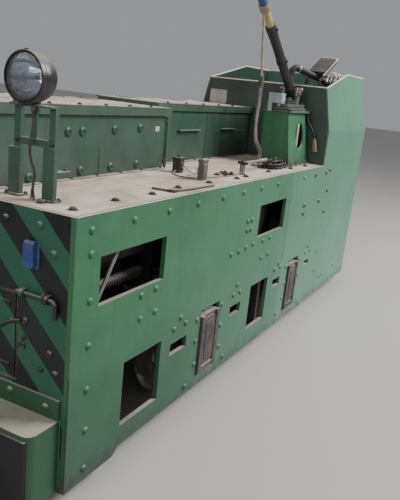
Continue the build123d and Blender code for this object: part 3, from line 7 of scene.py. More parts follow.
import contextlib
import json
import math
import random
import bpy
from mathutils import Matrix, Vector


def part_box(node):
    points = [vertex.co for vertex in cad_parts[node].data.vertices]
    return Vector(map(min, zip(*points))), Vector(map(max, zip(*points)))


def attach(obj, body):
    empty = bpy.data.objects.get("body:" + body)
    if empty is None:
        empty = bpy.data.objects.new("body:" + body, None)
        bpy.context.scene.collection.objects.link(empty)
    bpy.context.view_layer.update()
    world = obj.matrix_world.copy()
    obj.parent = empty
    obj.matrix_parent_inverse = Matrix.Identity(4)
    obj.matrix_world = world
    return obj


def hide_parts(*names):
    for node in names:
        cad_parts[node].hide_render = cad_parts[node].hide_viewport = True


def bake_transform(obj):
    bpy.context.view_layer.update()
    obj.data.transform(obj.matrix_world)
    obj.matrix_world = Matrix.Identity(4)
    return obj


bl_info = {
    "name": "Mine locomotive finish",
    "version": (1, 0, 0),
    "blender": (4, 5, 0),
    "location": "3D View > Sidebar > Locomotive",
    "description": "Paints and details the packed mine locomotive",
    "category": "Object",
}

from itertools import product

import bmesh
import bpy
from mathutils import Matrix, Vector

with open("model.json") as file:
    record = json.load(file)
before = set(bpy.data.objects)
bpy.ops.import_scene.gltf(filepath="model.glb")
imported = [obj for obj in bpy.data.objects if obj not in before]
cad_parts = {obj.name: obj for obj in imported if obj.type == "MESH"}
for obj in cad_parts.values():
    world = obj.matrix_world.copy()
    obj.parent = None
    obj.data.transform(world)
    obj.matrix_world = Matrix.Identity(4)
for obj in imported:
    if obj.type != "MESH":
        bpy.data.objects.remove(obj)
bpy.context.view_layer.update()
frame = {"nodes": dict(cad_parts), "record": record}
MM = 0.001
UP, FORWARD, LEFT = Vector((0, 0, 1)), Vector((1, 0, 0)), Vector((0, 1, 0))
REAR_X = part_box("side_plate_left")[0].x
FRONT_X, LEFT_Y, DECK_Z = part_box("side_plate_left")[1]
BODY_WIDTH = (LEFT_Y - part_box("side_plate_right")[0].y) / MM
BODY_LENGTH = (FRONT_X - REAR_X) / MM
MIDDLE = BODY_WIDTH / 2
SIDES = ((0, 1, LEFT), (BODY_WIDTH, -1, -LEFT))

# Places are millimetres behind the front face, inboard from the left plate and above the deck.
# rivets on each side plate, as (back, height)
SIDE_RIVETS = (
    (82, -53), (331, -53), (578, -53), (822, -53), (1069, -53), (1304, -53), (1539, -53), (1787, -53),
    (2250, -53), (2482, -53), (2722, -53), (2810, -39),
    (85, -135), (92, -302), (97, -469), (101, -639), (106, -804), (109, -965),
    (525, -365), (417, -367), (531, -465), (422, -466),
    (762, -560), (814, -601), (710, -601), (1367, -554), (1416, -604), (1331, -604),
    (1982, -564), (2024, -593), (1924, -591), (2561, -555), (2613, -595), (2510, -593),
    (1404, -213), (1458, -214), (1409, -264), (1455, -264),
    (1237, -362), (1330, -363), (1419, -358), (1516, -356), (1659, -363), (1766, -361),
    (1666, -464), (1767, -460),
    (930, -623), (931, -731), (944, -857), (1194, -617), (1202, -732), (1212, -855), (1275, -934),
    (867, -943), (2139, -618), (2144, -731), (2133, -830), (2061, -918), (2397, -618), (2404, -731),
    (2325, -239), (2326, -294), (2639, -245), (2815, -186), (2806, -340), (2801, -638), (2804, -788),
    (2971, -867), (3053, -873), (3344, -859), (3528, -853),
)
# rivets behind this and above this height have lost their paint
BARE_RIVETS = (2300, -500)
# bolts through the deck's edge, as (back, inboard)
DECK_BOLTS = (
    (82, 219), (85, 85), (822, 108), (1096, 96), (1371, 76), (1495, 80), (1844, 91), (1388, 199), (1490, 219),
    (2160, 70), (2420, 62), (340, 96), (580, 88),
)
# rivets on the front plate and the beam's upstand, as (inboard, height)
FRONT_RIVETS = (
    (296, -55), (147, -52), (85, -138), (60, -560), (704, -55), (853, -52), (915, -138), (940, -560),
)
UPSTAND_RIVETS = ((253, -678), (89, -688), (500, -684), (747, -678), (911, -688))
# big round bolts in the front hood's near side, as (back, height)
HOOD_BOLTS = ((534, 198), (628, 198), (861, 202), (1072, 208), (311, 24), (625, 30), (843, 33), (1060, 32))
# points that the lead to the headlight follows, from its gland down to the deck's stub
LAMP_ROUTE = (
    (94, 274, 302), (94, 274, 264), (92, 278, 216), (93, 289, 173), (95, 281, 131), (95, 261, 92),
    (94, 270, 52), (94, 270, 12),
)
LAMP_LEAD_LENGTH = 0.296
COILED_CABLE_LENGTH = 1.2346
# the wires from the switch box to the block on the deck, each with its finish
DECK_WIRES = (
    ("deck_wire_a", "wire_white", (
        (1250, 335, 30), (1250, 318, 31), (1262, 296, 22), (1236, 268, 6), (1200, 262, 4), (1180, 236, 8),
        (1176, 205, 22), (1160, 186, 34), (1150, 174, 38))),
    ("deck_wire_b", "wire_brown", (
        (1238, 335, 44), (1238, 316, 46), (1216, 298, 34), (1224, 270, 12), (1262, 250, 5), (1240, 222, 8),
        (1190, 214, 20), (1150, 196, 52), (1140, 174, 56))),
    ("deck_wire_c", "wire_white", (
        (1262, 335, 16), (1264, 316, 15), (1292, 296, 5), (1300, 262, 3), (1270, 226, 3), (1218, 208, 6),
        (1172, 200, 20), (1134, 192, 28), (1124, 174, 30))),
)
DECK_CABLE = (
    (1225, 352, 12), (1204, 352, 11), (1165, 338, 4), (1130, 300, 3.2), (1118, 258, 3.2), (1128, 214, 3.2),
    (1165, 190, 3.2), (1230, 172, 3.2), (1345, 146, 3.2), (1450, 130, 3.2), (1520, 134, 7), (1545, 135, 10),
)
# the hose that hangs from the terminal side of the pedestal, down to its hand grip
PENDANT_ROUTE = (
    (2588, 150, 334), (2588, 150, 300), (2592, 130, 262), (2600, 104, 225), (2606, 88, 190), (2608, 82, 150),
)
DUCT_ROUTE = (
    (2525, 285, 394), (2525, 285, 551), (2525, 285, 595), (2555, 268, 622), (2592, 247, 611),
    (2783, 136, 558), (2800, 126, 553), (2819, 122, 550), (2846, 117, 545.5),
)
ROPE_ENDS = ((1918, 240, 530), (1840, 240, 861))
LAMP_CENTRE, LAMP_DEPTH = (120, 288, 405), 124
# near side, far side, top and foot of the blue socket on the front plate
FRONT_SOCKET = (152, 197, -118, -198)
PIVOT = (2460, 240, 455)
POLE_TILT = math.radians(35)
POLE_ALONG = Vector((math.cos(POLE_TILT), 0, math.sin(POLE_TILT)))
POLE_SOCKET_LENGTH, POLE_WOOD_LENGTH = 615, 600
AXLE_BACKS = (1065, 2268)
AXLE_HEIGHT = -770
WHEEL_BRIGHT_FROM = (0.2955, 0.2985)
COIL_AXIS, COIL_START, COIL_END_BACK = (138, 581), (2860, 115, 544), 3330
CUSHION_LOW, CUSHION_HIGH = (3536, 924, -11), (3146, 576, 38)
# how far the simulated cloth of the cushion may move
CUSHION_CAP = 0.012
GLASS_CLEAR, SILVER = (0.93, 0.95, 0.97), (0.62, 0.64, 0.68)
# the front's slanting stripes: how far one repeats, and where the first begins below the corner
STRIPE_PITCH, STRIPE_START = 0.25, 0.0205


def at(back, inboard, height):
    """The point at millimetres behind the front face, inboard and above the deck."""
    return Vector((FRONT_X - back * MM, LEFT_Y - inboard * MM, DECK_Z + height * MM))


def tone(red, green, blue):
    """A screen colour of 0 to 255 as the linear colour that a shader takes."""
    return tuple((value / 255 / 12.92 if value < 10 else ((value / 255 + 0.055) / 1.055) ** 2.4)
                 for value in (red, green, blue))


def colour(name, description, red, green, blue):
    """A colour setting with its default."""
    return bpy.props.FloatVectorProperty(name=name, description=description, default=tone(red, green, blue),
                                         size=3, min=0, max=1, subtype="COLOR")


def measure(name, description, millimetres):
    """A size setting, given here in millimetres."""
    return bpy.props.FloatProperty(name=name, description=description, default=millimetres * MM, min=0,
                                   subtype="DISTANCE", unit="LENGTH")


def number(name, description, default, **limits):
    """A plain number setting."""
    return bpy.props.FloatProperty(name=name, description=description, default=default, **limits)


class LocoSizes(bpy.types.PropertyGroup):
    """Sizes of the small fittings."""
    rivet_radius: measure("Rivet radius", "Radius of a rivet head on the plates", 15)
    rivet_rise: measure("Rivet height", "How far a rivet head stands proud", 9)
    bolt_radius: measure("Deck bolt radius", "Half the width of a deck bolt's head", 14)
    bolt_rise: measure("Deck bolt height", "Height of a deck bolt's head", 11)
    hood_bolt_radius: measure("Hood bolt radius", "Radius of the round bolts in the hood's side", 21)
    rope_radius: measure("Rope radius", "Radius of the rope that holds the pole down", 7)
    lead_diameter: measure("Headlight lead", "Diameter of the headlight's lead", 9)
    coil_cable: measure("Coiled cable", "Diameter of the coiled cable in the cab", 12)
    coil_radius: measure("Coil radius", "Radius of the coil at the middle of its turns", 38)
    coil_turns: number("Coil turns", "Turns of the coiled cable", 4.25, min=1)
    spring_wire: measure("Spring wire", "Radius of the axle springs' wire", 7.5)
    weld_radius: measure("Weld bead", "Radius of a weld bead", 4)
    deck_wire: measure("Deck wire", "Diameter of the wires on the deck", 4)
    duct_rib_pitch: measure("Duct rib pitch", "Distance between the duct's ribs", 11)


class LocoColours(bpy.types.PropertyGroup):
    """Colours of the finishes."""
    green: colour("Green", "Side plates' paint", 30, 102, 62)
    green_dark: colour("Dark green", "Paint in older patches and on the front", 24, 76, 54)
    # this pale green also pales the rear of the side plates, where it is partly dust and partly painted light
    green_pale: colour("Faded green", "Paint where it has chalked", 100, 146, 124)
    green_hood: colour("Hood green", "Paint of the hoods' sides", 24, 70, 54)
    hood_stain: colour("Hood stain", "Greyed patches on the hoods' sides", 60, 78, 76)
    green_stripe: colour("Stripe green", "Green stripes on the front", 34, 88, 66)
    green_beam: colour("Beam green", "Paint of the beams", 22, 74, 44)
    # painted shade: this darker green stands for the shade on the cab's front wall and on the side plates'
    # faces that look into the cab; it also darkens the near foot of the side plates
    cab_shade_green: colour("Cab green", "Paint inside the cab", 27, 52, 47)
    base_coat: colour("Base coat", "Paint of the collector's base", 56, 84, 76)
    stripe_black: colour("Stripe black", "Dark stripes on the front", 10, 10, 16)
    dust: colour("Dust", "Settled dust", 232, 214, 197)
    stain: colour("Stain", "Oil and mud trodden into the dust", 146, 117, 94)
    grime: colour("Grime", "Grease and soot", 52, 44, 42)
    rust: colour("Rust", "Rust at edges and chips", 116, 72, 52)
    black: colour("Black", "Black paint", 26, 26, 30)
    soot: colour("Soot", "Black of the frame below the deck", 24, 23, 28)
    grey: colour("Grey", "Grey paint", 98, 104, 110)
    box_paint: colour("Box paint", "Pale paint of the terminal box", 158, 166, 172)
    block_paint: colour("Block paint", "Dull paint of the block on the deck", 66, 68, 72)
    socket_blue: colour("Socket blue", "Moulded blue socket", 40, 66, 128)
    iron: colour("Iron", "Bare castings", 74, 68, 72)
    iron_dark: colour("Dark iron", "Greasy castings", 46, 42, 42)
    steel: colour("Steel", "Bare steel", 150, 146, 142)
    wood: colour("Wood", "The pole's ash", 196, 178, 128)
    wood_ring: colour("Wood ring", "Dark grain of the pole's ash", 120, 92, 58)
    lead_sheath: colour("Lead sheath", "Braided sheath of the headlight's lead", 60, 48, 48)
    # painted highlight: this pale colour stands for the bright reflections on the coiled cable's shiny black
    # turns
    highlight_sheath: colour("Pale sheath", "The coiled cable's pale sheath", 230, 220, 212)
    red_sheath: colour("Red sheath", "Red strand of the coiled cable", 150, 84, 76)
    wire_white: colour("White wire", "Sheath of the white deck wires", 206, 200, 190)
    wire_brown: colour("Brown wire", "Sheath of the brown deck wires", 112, 74, 56)
    grip: colour("Grip", "Hand grip of the hanging hose", 120, 100, 82)
    cushion: colour("Cushion", "Seat cushion's vinyl", 46, 42, 42)
    plate: colour("Plate", "The blank plate on the cab wall", 190, 182, 168)
    tape: colour("Tape", "Blue tape on the pole", 58, 84, 128)
    rope: colour("Rope", "The rope's fibre", 168, 152, 126)


class LocoStage(bpy.types.PropertyGroup):
    """Floor, light and camera."""
    floor: colour("Floor", "The studio floor", 190, 186, 182)
    sky_strength: number("Sky", "Strength of the even light", 0.34, min=0)
    key_power: number("Key light", "Power of the main soft light", 1000, min=0, unit="POWER")
    fill_power: number("Fill light", "Power of the front's soft light", 110, min=0, unit="POWER")
    lens: number("Lens", "The camera's focal length", 43.95, min=1, unit="CAMERA")


# Node groups and materials

class Nodes:
    """Adds nodes to a tree, with a short call for each kind of step."""

    def __init__(self, tree):
        self.tree = tree

    def put(self, kind, inputs=(), **settings):
        """A node with its settings and its inputs, each a value or another node's output."""
        node = self.tree.nodes.new(kind)
        for key, value in settings.items():
            setattr(node, key, value)
        for key, value in dict(inputs).items():
            if isinstance(value, bpy.types.NodeSocket):
                self.tree.links.new(value, node.inputs[key])
            else:
                node.inputs[key].default_value = value
        return node

    def reckon(self, operation, first, second=0.0, third=0.0):
        """The result of one calculation."""
        return self.put("ShaderNodeMath", {0: first, 1: second, 2: third}, operation=operation).outputs[0]

    def times(self, first, second):
        """One value times another."""
        return self.reckon("MULTIPLY", first, second)

    def spread(self, value, share, start):
        """A value times a share, added to a start."""
        return self.reckon("MULTIPLY_ADD", value, share, start)

    def vector(self, operation, *values):
        """The result of one calculation with vectors."""
        outputs = self.put("ShaderNodeVectorMath", enumerate(values), operation=operation).outputs
        return outputs["Value" if operation in ("DOT_PRODUCT", "LENGTH") else "Vector"]

    def ramp(self, value, low, high, top=1.0):
        """A value spread smoothly from 0 at low to top at high."""
        inputs = {"Value": value, "From Min": low, "From Max": high, "To Min": 0.0, "To Max": top}
        return self.put("ShaderNodeMapRange", inputs, interpolation_type="SMOOTHSTEP").outputs["Result"]

    def over(self, under, tint, mask):
        """One colour laid over another where the mask says."""
        inputs = {key: value if isinstance(value, bpy.types.NodeSocket) else (*value, 1)
                  for key, value in ((0, mask), (6, under), (7, tint))}
        return self.put("ShaderNodeMix", inputs, data_type="RGBA").outputs[2]

    def coords(self, kind="Object"):
        """Where a point is on the piece, or which way it faces."""
        return self.put("ShaderNodeTexCoord").outputs[kind]

    def along(self, axis, kind="Object"):
        """One axis of the coordinates."""
        return self.put("ShaderNodeSeparateXYZ", {0: self.coords(kind)}).outputs[axis]

    def place(self, name, **inputs):
        """A shared group's outputs, with its inputs given by name."""
        return self.put("ShaderNodeGroup", {key.title(): value for key, value in inputs.items()},
                        node_tree=bpy.data.node_groups[name]).outputs

    def patches(self, scale, detail, low=0.45, high=0.65, **placing):
        """Irregular patches, as a mask and as the level that it is cut from."""
        return self.place("Patches", scale=scale, detail=detail, low=low, high=high, **placing)

    def mask(self, *values, **placing):
        """Irregular patches, as a mask only."""
        return self.patches(*values, **placing)["Mask"]


class Group(Nodes):
    """A shared node group while it is built, with its outputs' names and its inputs' defaults."""

    def __init__(self, name, *outputs, **inputs):
        super().__init__(bpy.data.node_groups.new(name, "ShaderNodeTree"))
        for label, default in inputs.items():
            kind = "NodeSocketFloat" if isinstance(default, float) else "NodeSocketVector"
            socket = self.tree.interface.new_socket(label.title(), in_out="INPUT", socket_type=kind)
            socket.default_value = default
        for label in outputs:
            self.tree.interface.new_socket(label, in_out="OUTPUT", socket_type="NodeSocketFloat")
        self.given = self.tree.nodes.new("NodeGroupInput").outputs
        self.outlet = self.tree.nodes.new("NodeGroupOutput").inputs

    def give(self, label, value):
        """Puts out a result."""
        self.tree.links.new(value, self.outlet[label])


def make_patches_group():
    """Irregular patches: noise over Object coordinates, cut between two levels."""
    group = Group("Patches", "Mask", "Level", scale=6.0, detail=4.0, low=0.45, high=0.65, stretch=(1, 1, 1),
                  shift=(0, 0, 0))
    given = group.given
    placed = group.vector("MULTIPLY_ADD", group.coords(), given["Stretch"], given["Shift"])
    noise = group.put("ShaderNodeTexNoise", {"Vector": placed, "Scale": given["Scale"], "Roughness": 0.62,
                                             "Detail": given["Detail"]}).outputs["Fac"]
    group.give("Mask", group.ramp(noise, given["Low"], given["High"]))
    group.give("Level", noise)


def make_dust_group():
    """Settled dust: thick on faces that look up, thin on the rest, broken up by patches."""
    group = Group("Settled dust", "Mask", amount=0.8, sides=0.1, scale=5.0)
    top = group.ramp(group.along("Z", "Normal"), 0.15, 0.9)
    covered = group.reckon("MAXIMUM", top, group.given["Sides"])
    broken = group.spread(group.mask(group.given["Scale"], 6.0, 0.3, 0.62), 0.45, 0.55)
    group.give("Mask", group.times(group.times(covered, broken), group.given["Amount"]))


def make_edge_group():
    """Worn edges: where a rounded normal leaves the real one, broken up by noise."""
    group = Group("Worn edges", "Mask", radius=0.004, amount=1.0, scale=30.0)
    rounded = group.put("ShaderNodeBevel", {"Radius": group.given["Radius"]}, samples=4).outputs[0]
    real = group.put("ShaderNodeNewGeometry").outputs["Normal"]
    bent = group.ramp(group.reckon("SUBTRACT", 1.0, group.vector("DOT_PRODUCT", rounded, real)), 0.01, 0.16)
    broken = group.mask(group.given["Scale"], 5.0, 0.38, 0.56)
    group.give("Mask", group.times(group.times(bent, broken), group.given["Amount"]))


def make_height_group():
    """Surface height: brushed grain, shallow dents and fine pits."""
    group = Group("Surface height", "Height", grain=0.4, dents=0.5, pits=0.3, scale=1.0)
    fine, wide = (group.times(group.given["Scale"], scale) for scale in (260.0, 5.0))
    grain = group.patches(fine, 3.0, stretch=(1, 1, 0.35))["Level"]
    dents = group.patches(wide, 2.0)["Level"]
    cells = group.put("ShaderNodeTexVoronoi", {"Vector": group.coords(), "Scale": fine}).outputs["Distance"]
    total = group.spread(dents, group.given["Dents"], group.times(grain, group.given["Grain"]))
    group.give("Height", group.spread(group.ramp(cells, 0.0, 0.35), group.given["Pits"], total))


class Finish(Nodes):
    """A material while it is built, from its first colour up."""

    def __init__(self, tints, name, base):
        self.material = bpy.data.materials.new(name)
        self.material.use_nodes = True
        super().__init__(self.material.node_tree)
        self.shader = self.tree.nodes["Principled BSDF"]
        self.tints, self.base = tints, base

    def coat(self, tint, mask, share=None):
        """Lays a colour on where the mask says, or by a share of that."""
        self.base = self.over(self.base, tint, mask if share is None else self.times(mask, share))

    def settle(self, amount, sides, scale):
        """Lets dust settle and gives its mask."""
        settled = self.place("Settled dust", amount=amount, sides=sides, scale=scale)["Mask"]
        self.coat(self.tints.dust, settled)
        return settled

    def edges(self, radius, amount, scale):
        """The mask of the worn edges."""
        return self.place("Worn edges", radius=radius, amount=amount, scale=scale)["Mask"]

    def height(self, grain, dents, pits, scale=1.0):
        """The height of a worn surface."""
        return self.place("Surface height", grain=grain, dents=dents, pits=pits, scale=scale)["Height"]

    def done(self, roughness, height, bump, depth, metallic=0.0, **fixed):
        """Feeds the surface shader its colour, roughness, metal and bump, and gives the material."""
        relief = self.put("ShaderNodeBump", {"Height": height, "Strength": bump, "Distance": depth})
        values = {"Base Color": self.base, "Roughness": roughness, "Metallic": metallic,
                  "Normal": relief.outputs["Normal"]}
        values.update({label.replace("_", " ").title(): value for label, value in fixed.items()})
        for label, value in values.items():
            if isinstance(value, bpy.types.NodeSocket):
                self.tree.links.new(value, self.shader.inputs[label])
            else:
                self.shader.inputs[label].default_value = value
        return self.material


def stripe_mask(paint):
    """The green of the front's slanting stripes."""
    across = paint.vector("DOT_PRODUCT", paint.coords(), (0, 1, 1))
    fallen = paint.reckon("SUBTRACT", LEFT_Y + DECK_Z - STRIPE_START, across)
    turn = paint.reckon("FRACT", paint.reckon("DIVIDE", fallen, STRIPE_PITCH))
    return paint.ramp(paint.spread(paint.patches(40.0, 2.0)["Level"], 0.03, turn), 0.51, 0.525)


def pale_rearward(paint, paling, share):
    """Adds the side plates' paling towards the rear and the foot, partly dust and partly painted light from a
    side window, and darkens the near foot.
    """
    back = paint.along("X")
    rearward = paint.ramp(back, FRONT_X, REAR_X)
    behind_seam = paint.ramp(back, at(2036, 0, 0).x, at(2044, 0, 0).x, 0.14)
    low = paint.ramp(paint.along("Z"), DECK_Z - 0.2, DECK_Z - 0.95)
    # paler towards the rear and the rear foot: partly dust, partly painted light from a side window
    worn = paint.spread(rearward, share, behind_seam)
    worn = paint.spread(paint.times(rearward, low), 0.35, worn)
    # darker towards the near foot, laid with the darker shade green
    near_low = paint.times(paint.reckon("SUBTRACT", 1.0, rearward), low)
    paint.coat(paint.tints.cab_shade_green, near_low, 0.55)
    return paint.reckon("ADD", paling, worn)


def painted(tints, name, coat, patch, pale=0.35, dust=0.75, sides=0.08, rust=0.7, runs=0.35, gloss=0.46,
            stripes=False, bump=0.35, far_light_and_dust=0.0, stain=0.0, foot=0.0):
    """Old brushed paint on plate: patches, chalking, runs, rusty edges and chips, dust on top; on the side
    plates also paling towards the rear that is partly painted light, and painted shade on the inward faces.
    """
    paint = Finish(tints, name, coat)
    patches = paint.patches(3.2, 5.0, 0.42, 0.68)
    paint.coat(patch, patches["Mask"], 0.6)
    if stripes:
        paint.base = paint.over(tints.stripe_black, paint.base, stripe_mask(paint))
    paling = paint.times(paint.mask(1.7, 7.0, 0.4, 0.7, shift=(3, 7, 1)), pale)
    # on the side plates the paling grows towards the rear: partly dust, partly painted light from a side
    # window
    if far_light_and_dust:
        paling = pale_rearward(paint, paling, far_light_and_dust)
    paint.coat(tints.grey if coat in (tints.black, tints.soot) else tints.green_pale, paling)
    if far_light_and_dust:
        # painted shade: faces that look inward, into the cab, take the darker shade green
        facing = paint.times(paint.along("Y", "Normal"), paint.along("Y"))
        paint.coat(tints.cab_shade_green, paint.ramp(facing, -0.3, -0.38, 0.9))
    paint.coat(tints.grime, paint.mask(26.0, 4.0, 0.52, 0.78, stretch=(1, 1, 0.07)), runs)
    chips = paint.times(paint.mask(21.0, 8.0, 0.70, 0.74, shift=(1, 4, 2)), rust)
    bare = paint.reckon("MAXIMUM", paint.edges(0.005, rust, 34.0), chips)
    paint.coat(paint.over(tints.rust, tints.grime, paint.mask(90.0, 4.0, 0.35, 0.6)), bare)
    if foot or far_light_and_dust:
        ground = DECK_Z if foot else DECK_Z - 1.0
        mud = paint.ramp(paint.along("Z"), ground + 0.10, ground + 0.01, foot or 0.75)
        paint.coat(tints.grime, mud, paint.mask(16.0, 8.0, 0.38, 0.62, shift=(6, 3, 9)))
    settled = paint.settle(dust, sides, 5.5)
    if stain:
        trodden = paint.mask(4.5, 8.0, 0.42, 0.66, shift=(9, 2, 4), stretch=(0.6, 1, 1))
        paint.coat(tints.stain, paint.times(trodden, settled), stain)
    roughness = paint.spread(patches["Level"], 0.25, gloss - 0.1)
    roughness = paint.reckon("MAXIMUM", roughness, paint.times(settled, 0.95))
    height = paint.reckon("SUBTRACT", paint.height(0.35, 0.9, 0.12), paint.times(bare, 0.25))
    return paint.done(roughness, height, bump, 0.003)


def cast_iron(tints, name, skin, second, dust=0.5, sides=0.15, rust=0.4):
    """A sand casting or rolled bar: grainy skin, rust in patches, dust on top."""
    iron = Finish(tints, name, skin)
    patches = iron.patches(14.0, 7.0, 0.38, 0.66)
    iron.coat(second, patches["Mask"])
    iron.coat(tints.rust, iron.mask(9.0, 8.0, 0.46, 0.66, shift=(5, 2, 8)), rust)
    iron.coat(tints.steel, iron.edges(0.004, 0.55, 45.0), 0.5)
    iron.settle(dust, sides, 9.0)
    return iron.done(iron.spread(patches["Level"], 0.3, 0.57), iron.height(0.5, 0.5, 0.8, 0.6), 0.5, 0.002)


def wheel_steel(tints, name, axle_back):
    """A rusty rolled wheel with its tread and flange worn bright."""
    wheel = Finish(tints, name, tints.rust)
    centre = at(axle_back, 0, AXLE_HEIGHT)
    centred = wheel.put("ShaderNodeMapping", {"Vector": wheel.coords(),
                                              "Location": (-centre.x, 0, -centre.z)})
    reach = wheel.vector("LENGTH", wheel.vector("MULTIPLY", centred.outputs[0], (1, 0, 1)))
    tread = wheel.ramp(reach, *WHEEL_BRIGHT_FROM)
    patches = wheel.patches(12.0, 7.0, 0.35, 0.66)
    wheel.coat(tints.iron_dark, patches["Mask"])
    wheel.settle(0.3, 0.1, 9.0)
    bright = wheel.times(tread, wheel.spread(patches["Level"], -0.5, 1.0))
    wheel.coat(tints.steel, bright)
    return wheel.done(wheel.spread(tread, -0.42, 0.8), wheel.height(0.5, 0.3, 0.5, 0.7), 0.3, 0.002,
                      wheel.times(bright, 0.85))


def bare_steel(tints, name, skin, rough=0.42, rust=0.35, dust=0.3):
    """Turned or drawn steel, dull, with rust freckles."""
    steel = Finish(tints, name, skin)
    patches = steel.patches(18.0, 6.0, 0.4, 0.7)
    steel.coat(tints.grime, patches["Mask"], 0.5)
    steel.coat(tints.rust, steel.mask(70.0, 6.0, 0.52, 0.62, shift=(2, 2, 2)), rust)
    clean = steel.reckon("SUBTRACT", 1.0, steel.settle(dust, 0.06, 9.0))
    return steel.done(steel.spread(patches["Level"], 0.3, rough - 0.1), steel.height(0.5, 0.2, 0.2), 0.25,
                      0.001, steel.times(clean, 0.8))


def rubber(tints, name, skin, dust=0.4, sides=0.14, rough=0.6, second=None):
    """A cable sheath or rubber: dull, scuffed, dusty on top."""
    sheath = Finish(tints, name, skin)
    scuffs = sheath.patches(55.0, 5.0, 0.5, 0.72, stretch=(0.3, 1, 1))
    sheath.coat(second or tints.grey, scuffs["Mask"], 0.3)
    sheath.settle(dust, sides, 22.0)
    return sheath.done(sheath.spread(scuffs["Level"], 0.3, rough - 0.1), sheath.height(0.6, 0.0, 0.2), 0.2,
                       0.0008)


def wood(tints, name):
    """Varnished ash: long grain along the pole, worn and dirty."""
    ash = Finish(tints, name, tints.wood)
    turned = ash.put("ShaderNodeMapping", {"Vector": ash.coords(), "Rotation": (0, POLE_TILT, 0)}).outputs[0]
    drawn = ash.vector("MULTIPLY", turned, (0.06, 1, 1))
    rings = ash.put("ShaderNodeTexNoise", {"Vector": drawn, "Scale": 120.0, "Detail": 6.0}).outputs["Fac"]
    ash.coat(tints.wood_ring, ash.ramp(rings, 0.4, 0.68))
    ash.coat(tints.grime, ash.mask(14.0, 6.0, 0.42, 0.7), 0.45)
    return ash.done(ash.spread(rings, 0.3, 0.4), rings, 0.3, 0.001)


def vinyl(tints, name):
    """Seat vinyl: fine leather cells with a dull sheen and worn crests."""
    skin = Finish(tints, name, tints.cushion)
    cells = skin.put("ShaderNodeTexVoronoi", {"Vector": skin.coords(), "Scale": 420.0}, feature="F1")
    worn = skin.mask(11.0, 6.0, 0.45, 0.7)
    skin.coat(tints.grey, worn, 0.35)
    skin.settle(0.18, 0.03, 8.0)
    return skin.done(skin.spread(worn, 0.2, 0.42), cells.outputs["Distance"], 0.35, 0.0008)


def fibre(tints, name, skin, strands):
    """Twisted fibre for the rope and tape."""
    cloth = Finish(tints, name, skin)
    twist = cloth.put("ShaderNodeTexWave", {"Vector": cloth.coords(), "Scale": strands, "Distortion": 2.0},
                      bands_direction="DIAGONAL").outputs["Fac"]
    dirt = cloth.mask(40.0, 5.0, 0.4, 0.7)
    cloth.coat(tints.grime, dirt, 0.4)
    return cloth.done(cloth.spread(dirt, 0.1, 0.85), twist, 0.5, 0.0015)


def lamp_glass(tints, name):
    """Clear pressed glass with dust on it."""
    glass = Finish(tints, name, GLASS_CLEAR)
    dust = glass.mask(30.0, 6.0, 0.5, 0.8)
    glass.coat(tints.dust, dust, 0.15)
    return glass.done(glass.spread(dust, 0.12, 0.02), glass.patches(60.0, 1.0)["Level"], 0.03, 0.001,
                      transmission_weight=1.0)


def mirror_metal(tints, name):
    """The headlight's silvered reflector, a little tarnished."""
    mirror = Finish(tints, name, SILVER)
    tarnish = mirror.patches(20.0, 5.0, 0.45, 0.8)
    mirror.coat(tints.black, tarnish["Mask"], 0.6)
    return mirror.done(mirror.spread(tarnish["Mask"], 0.12, 0.06), tarnish["Level"], 0.05, 0.001, 1.0)


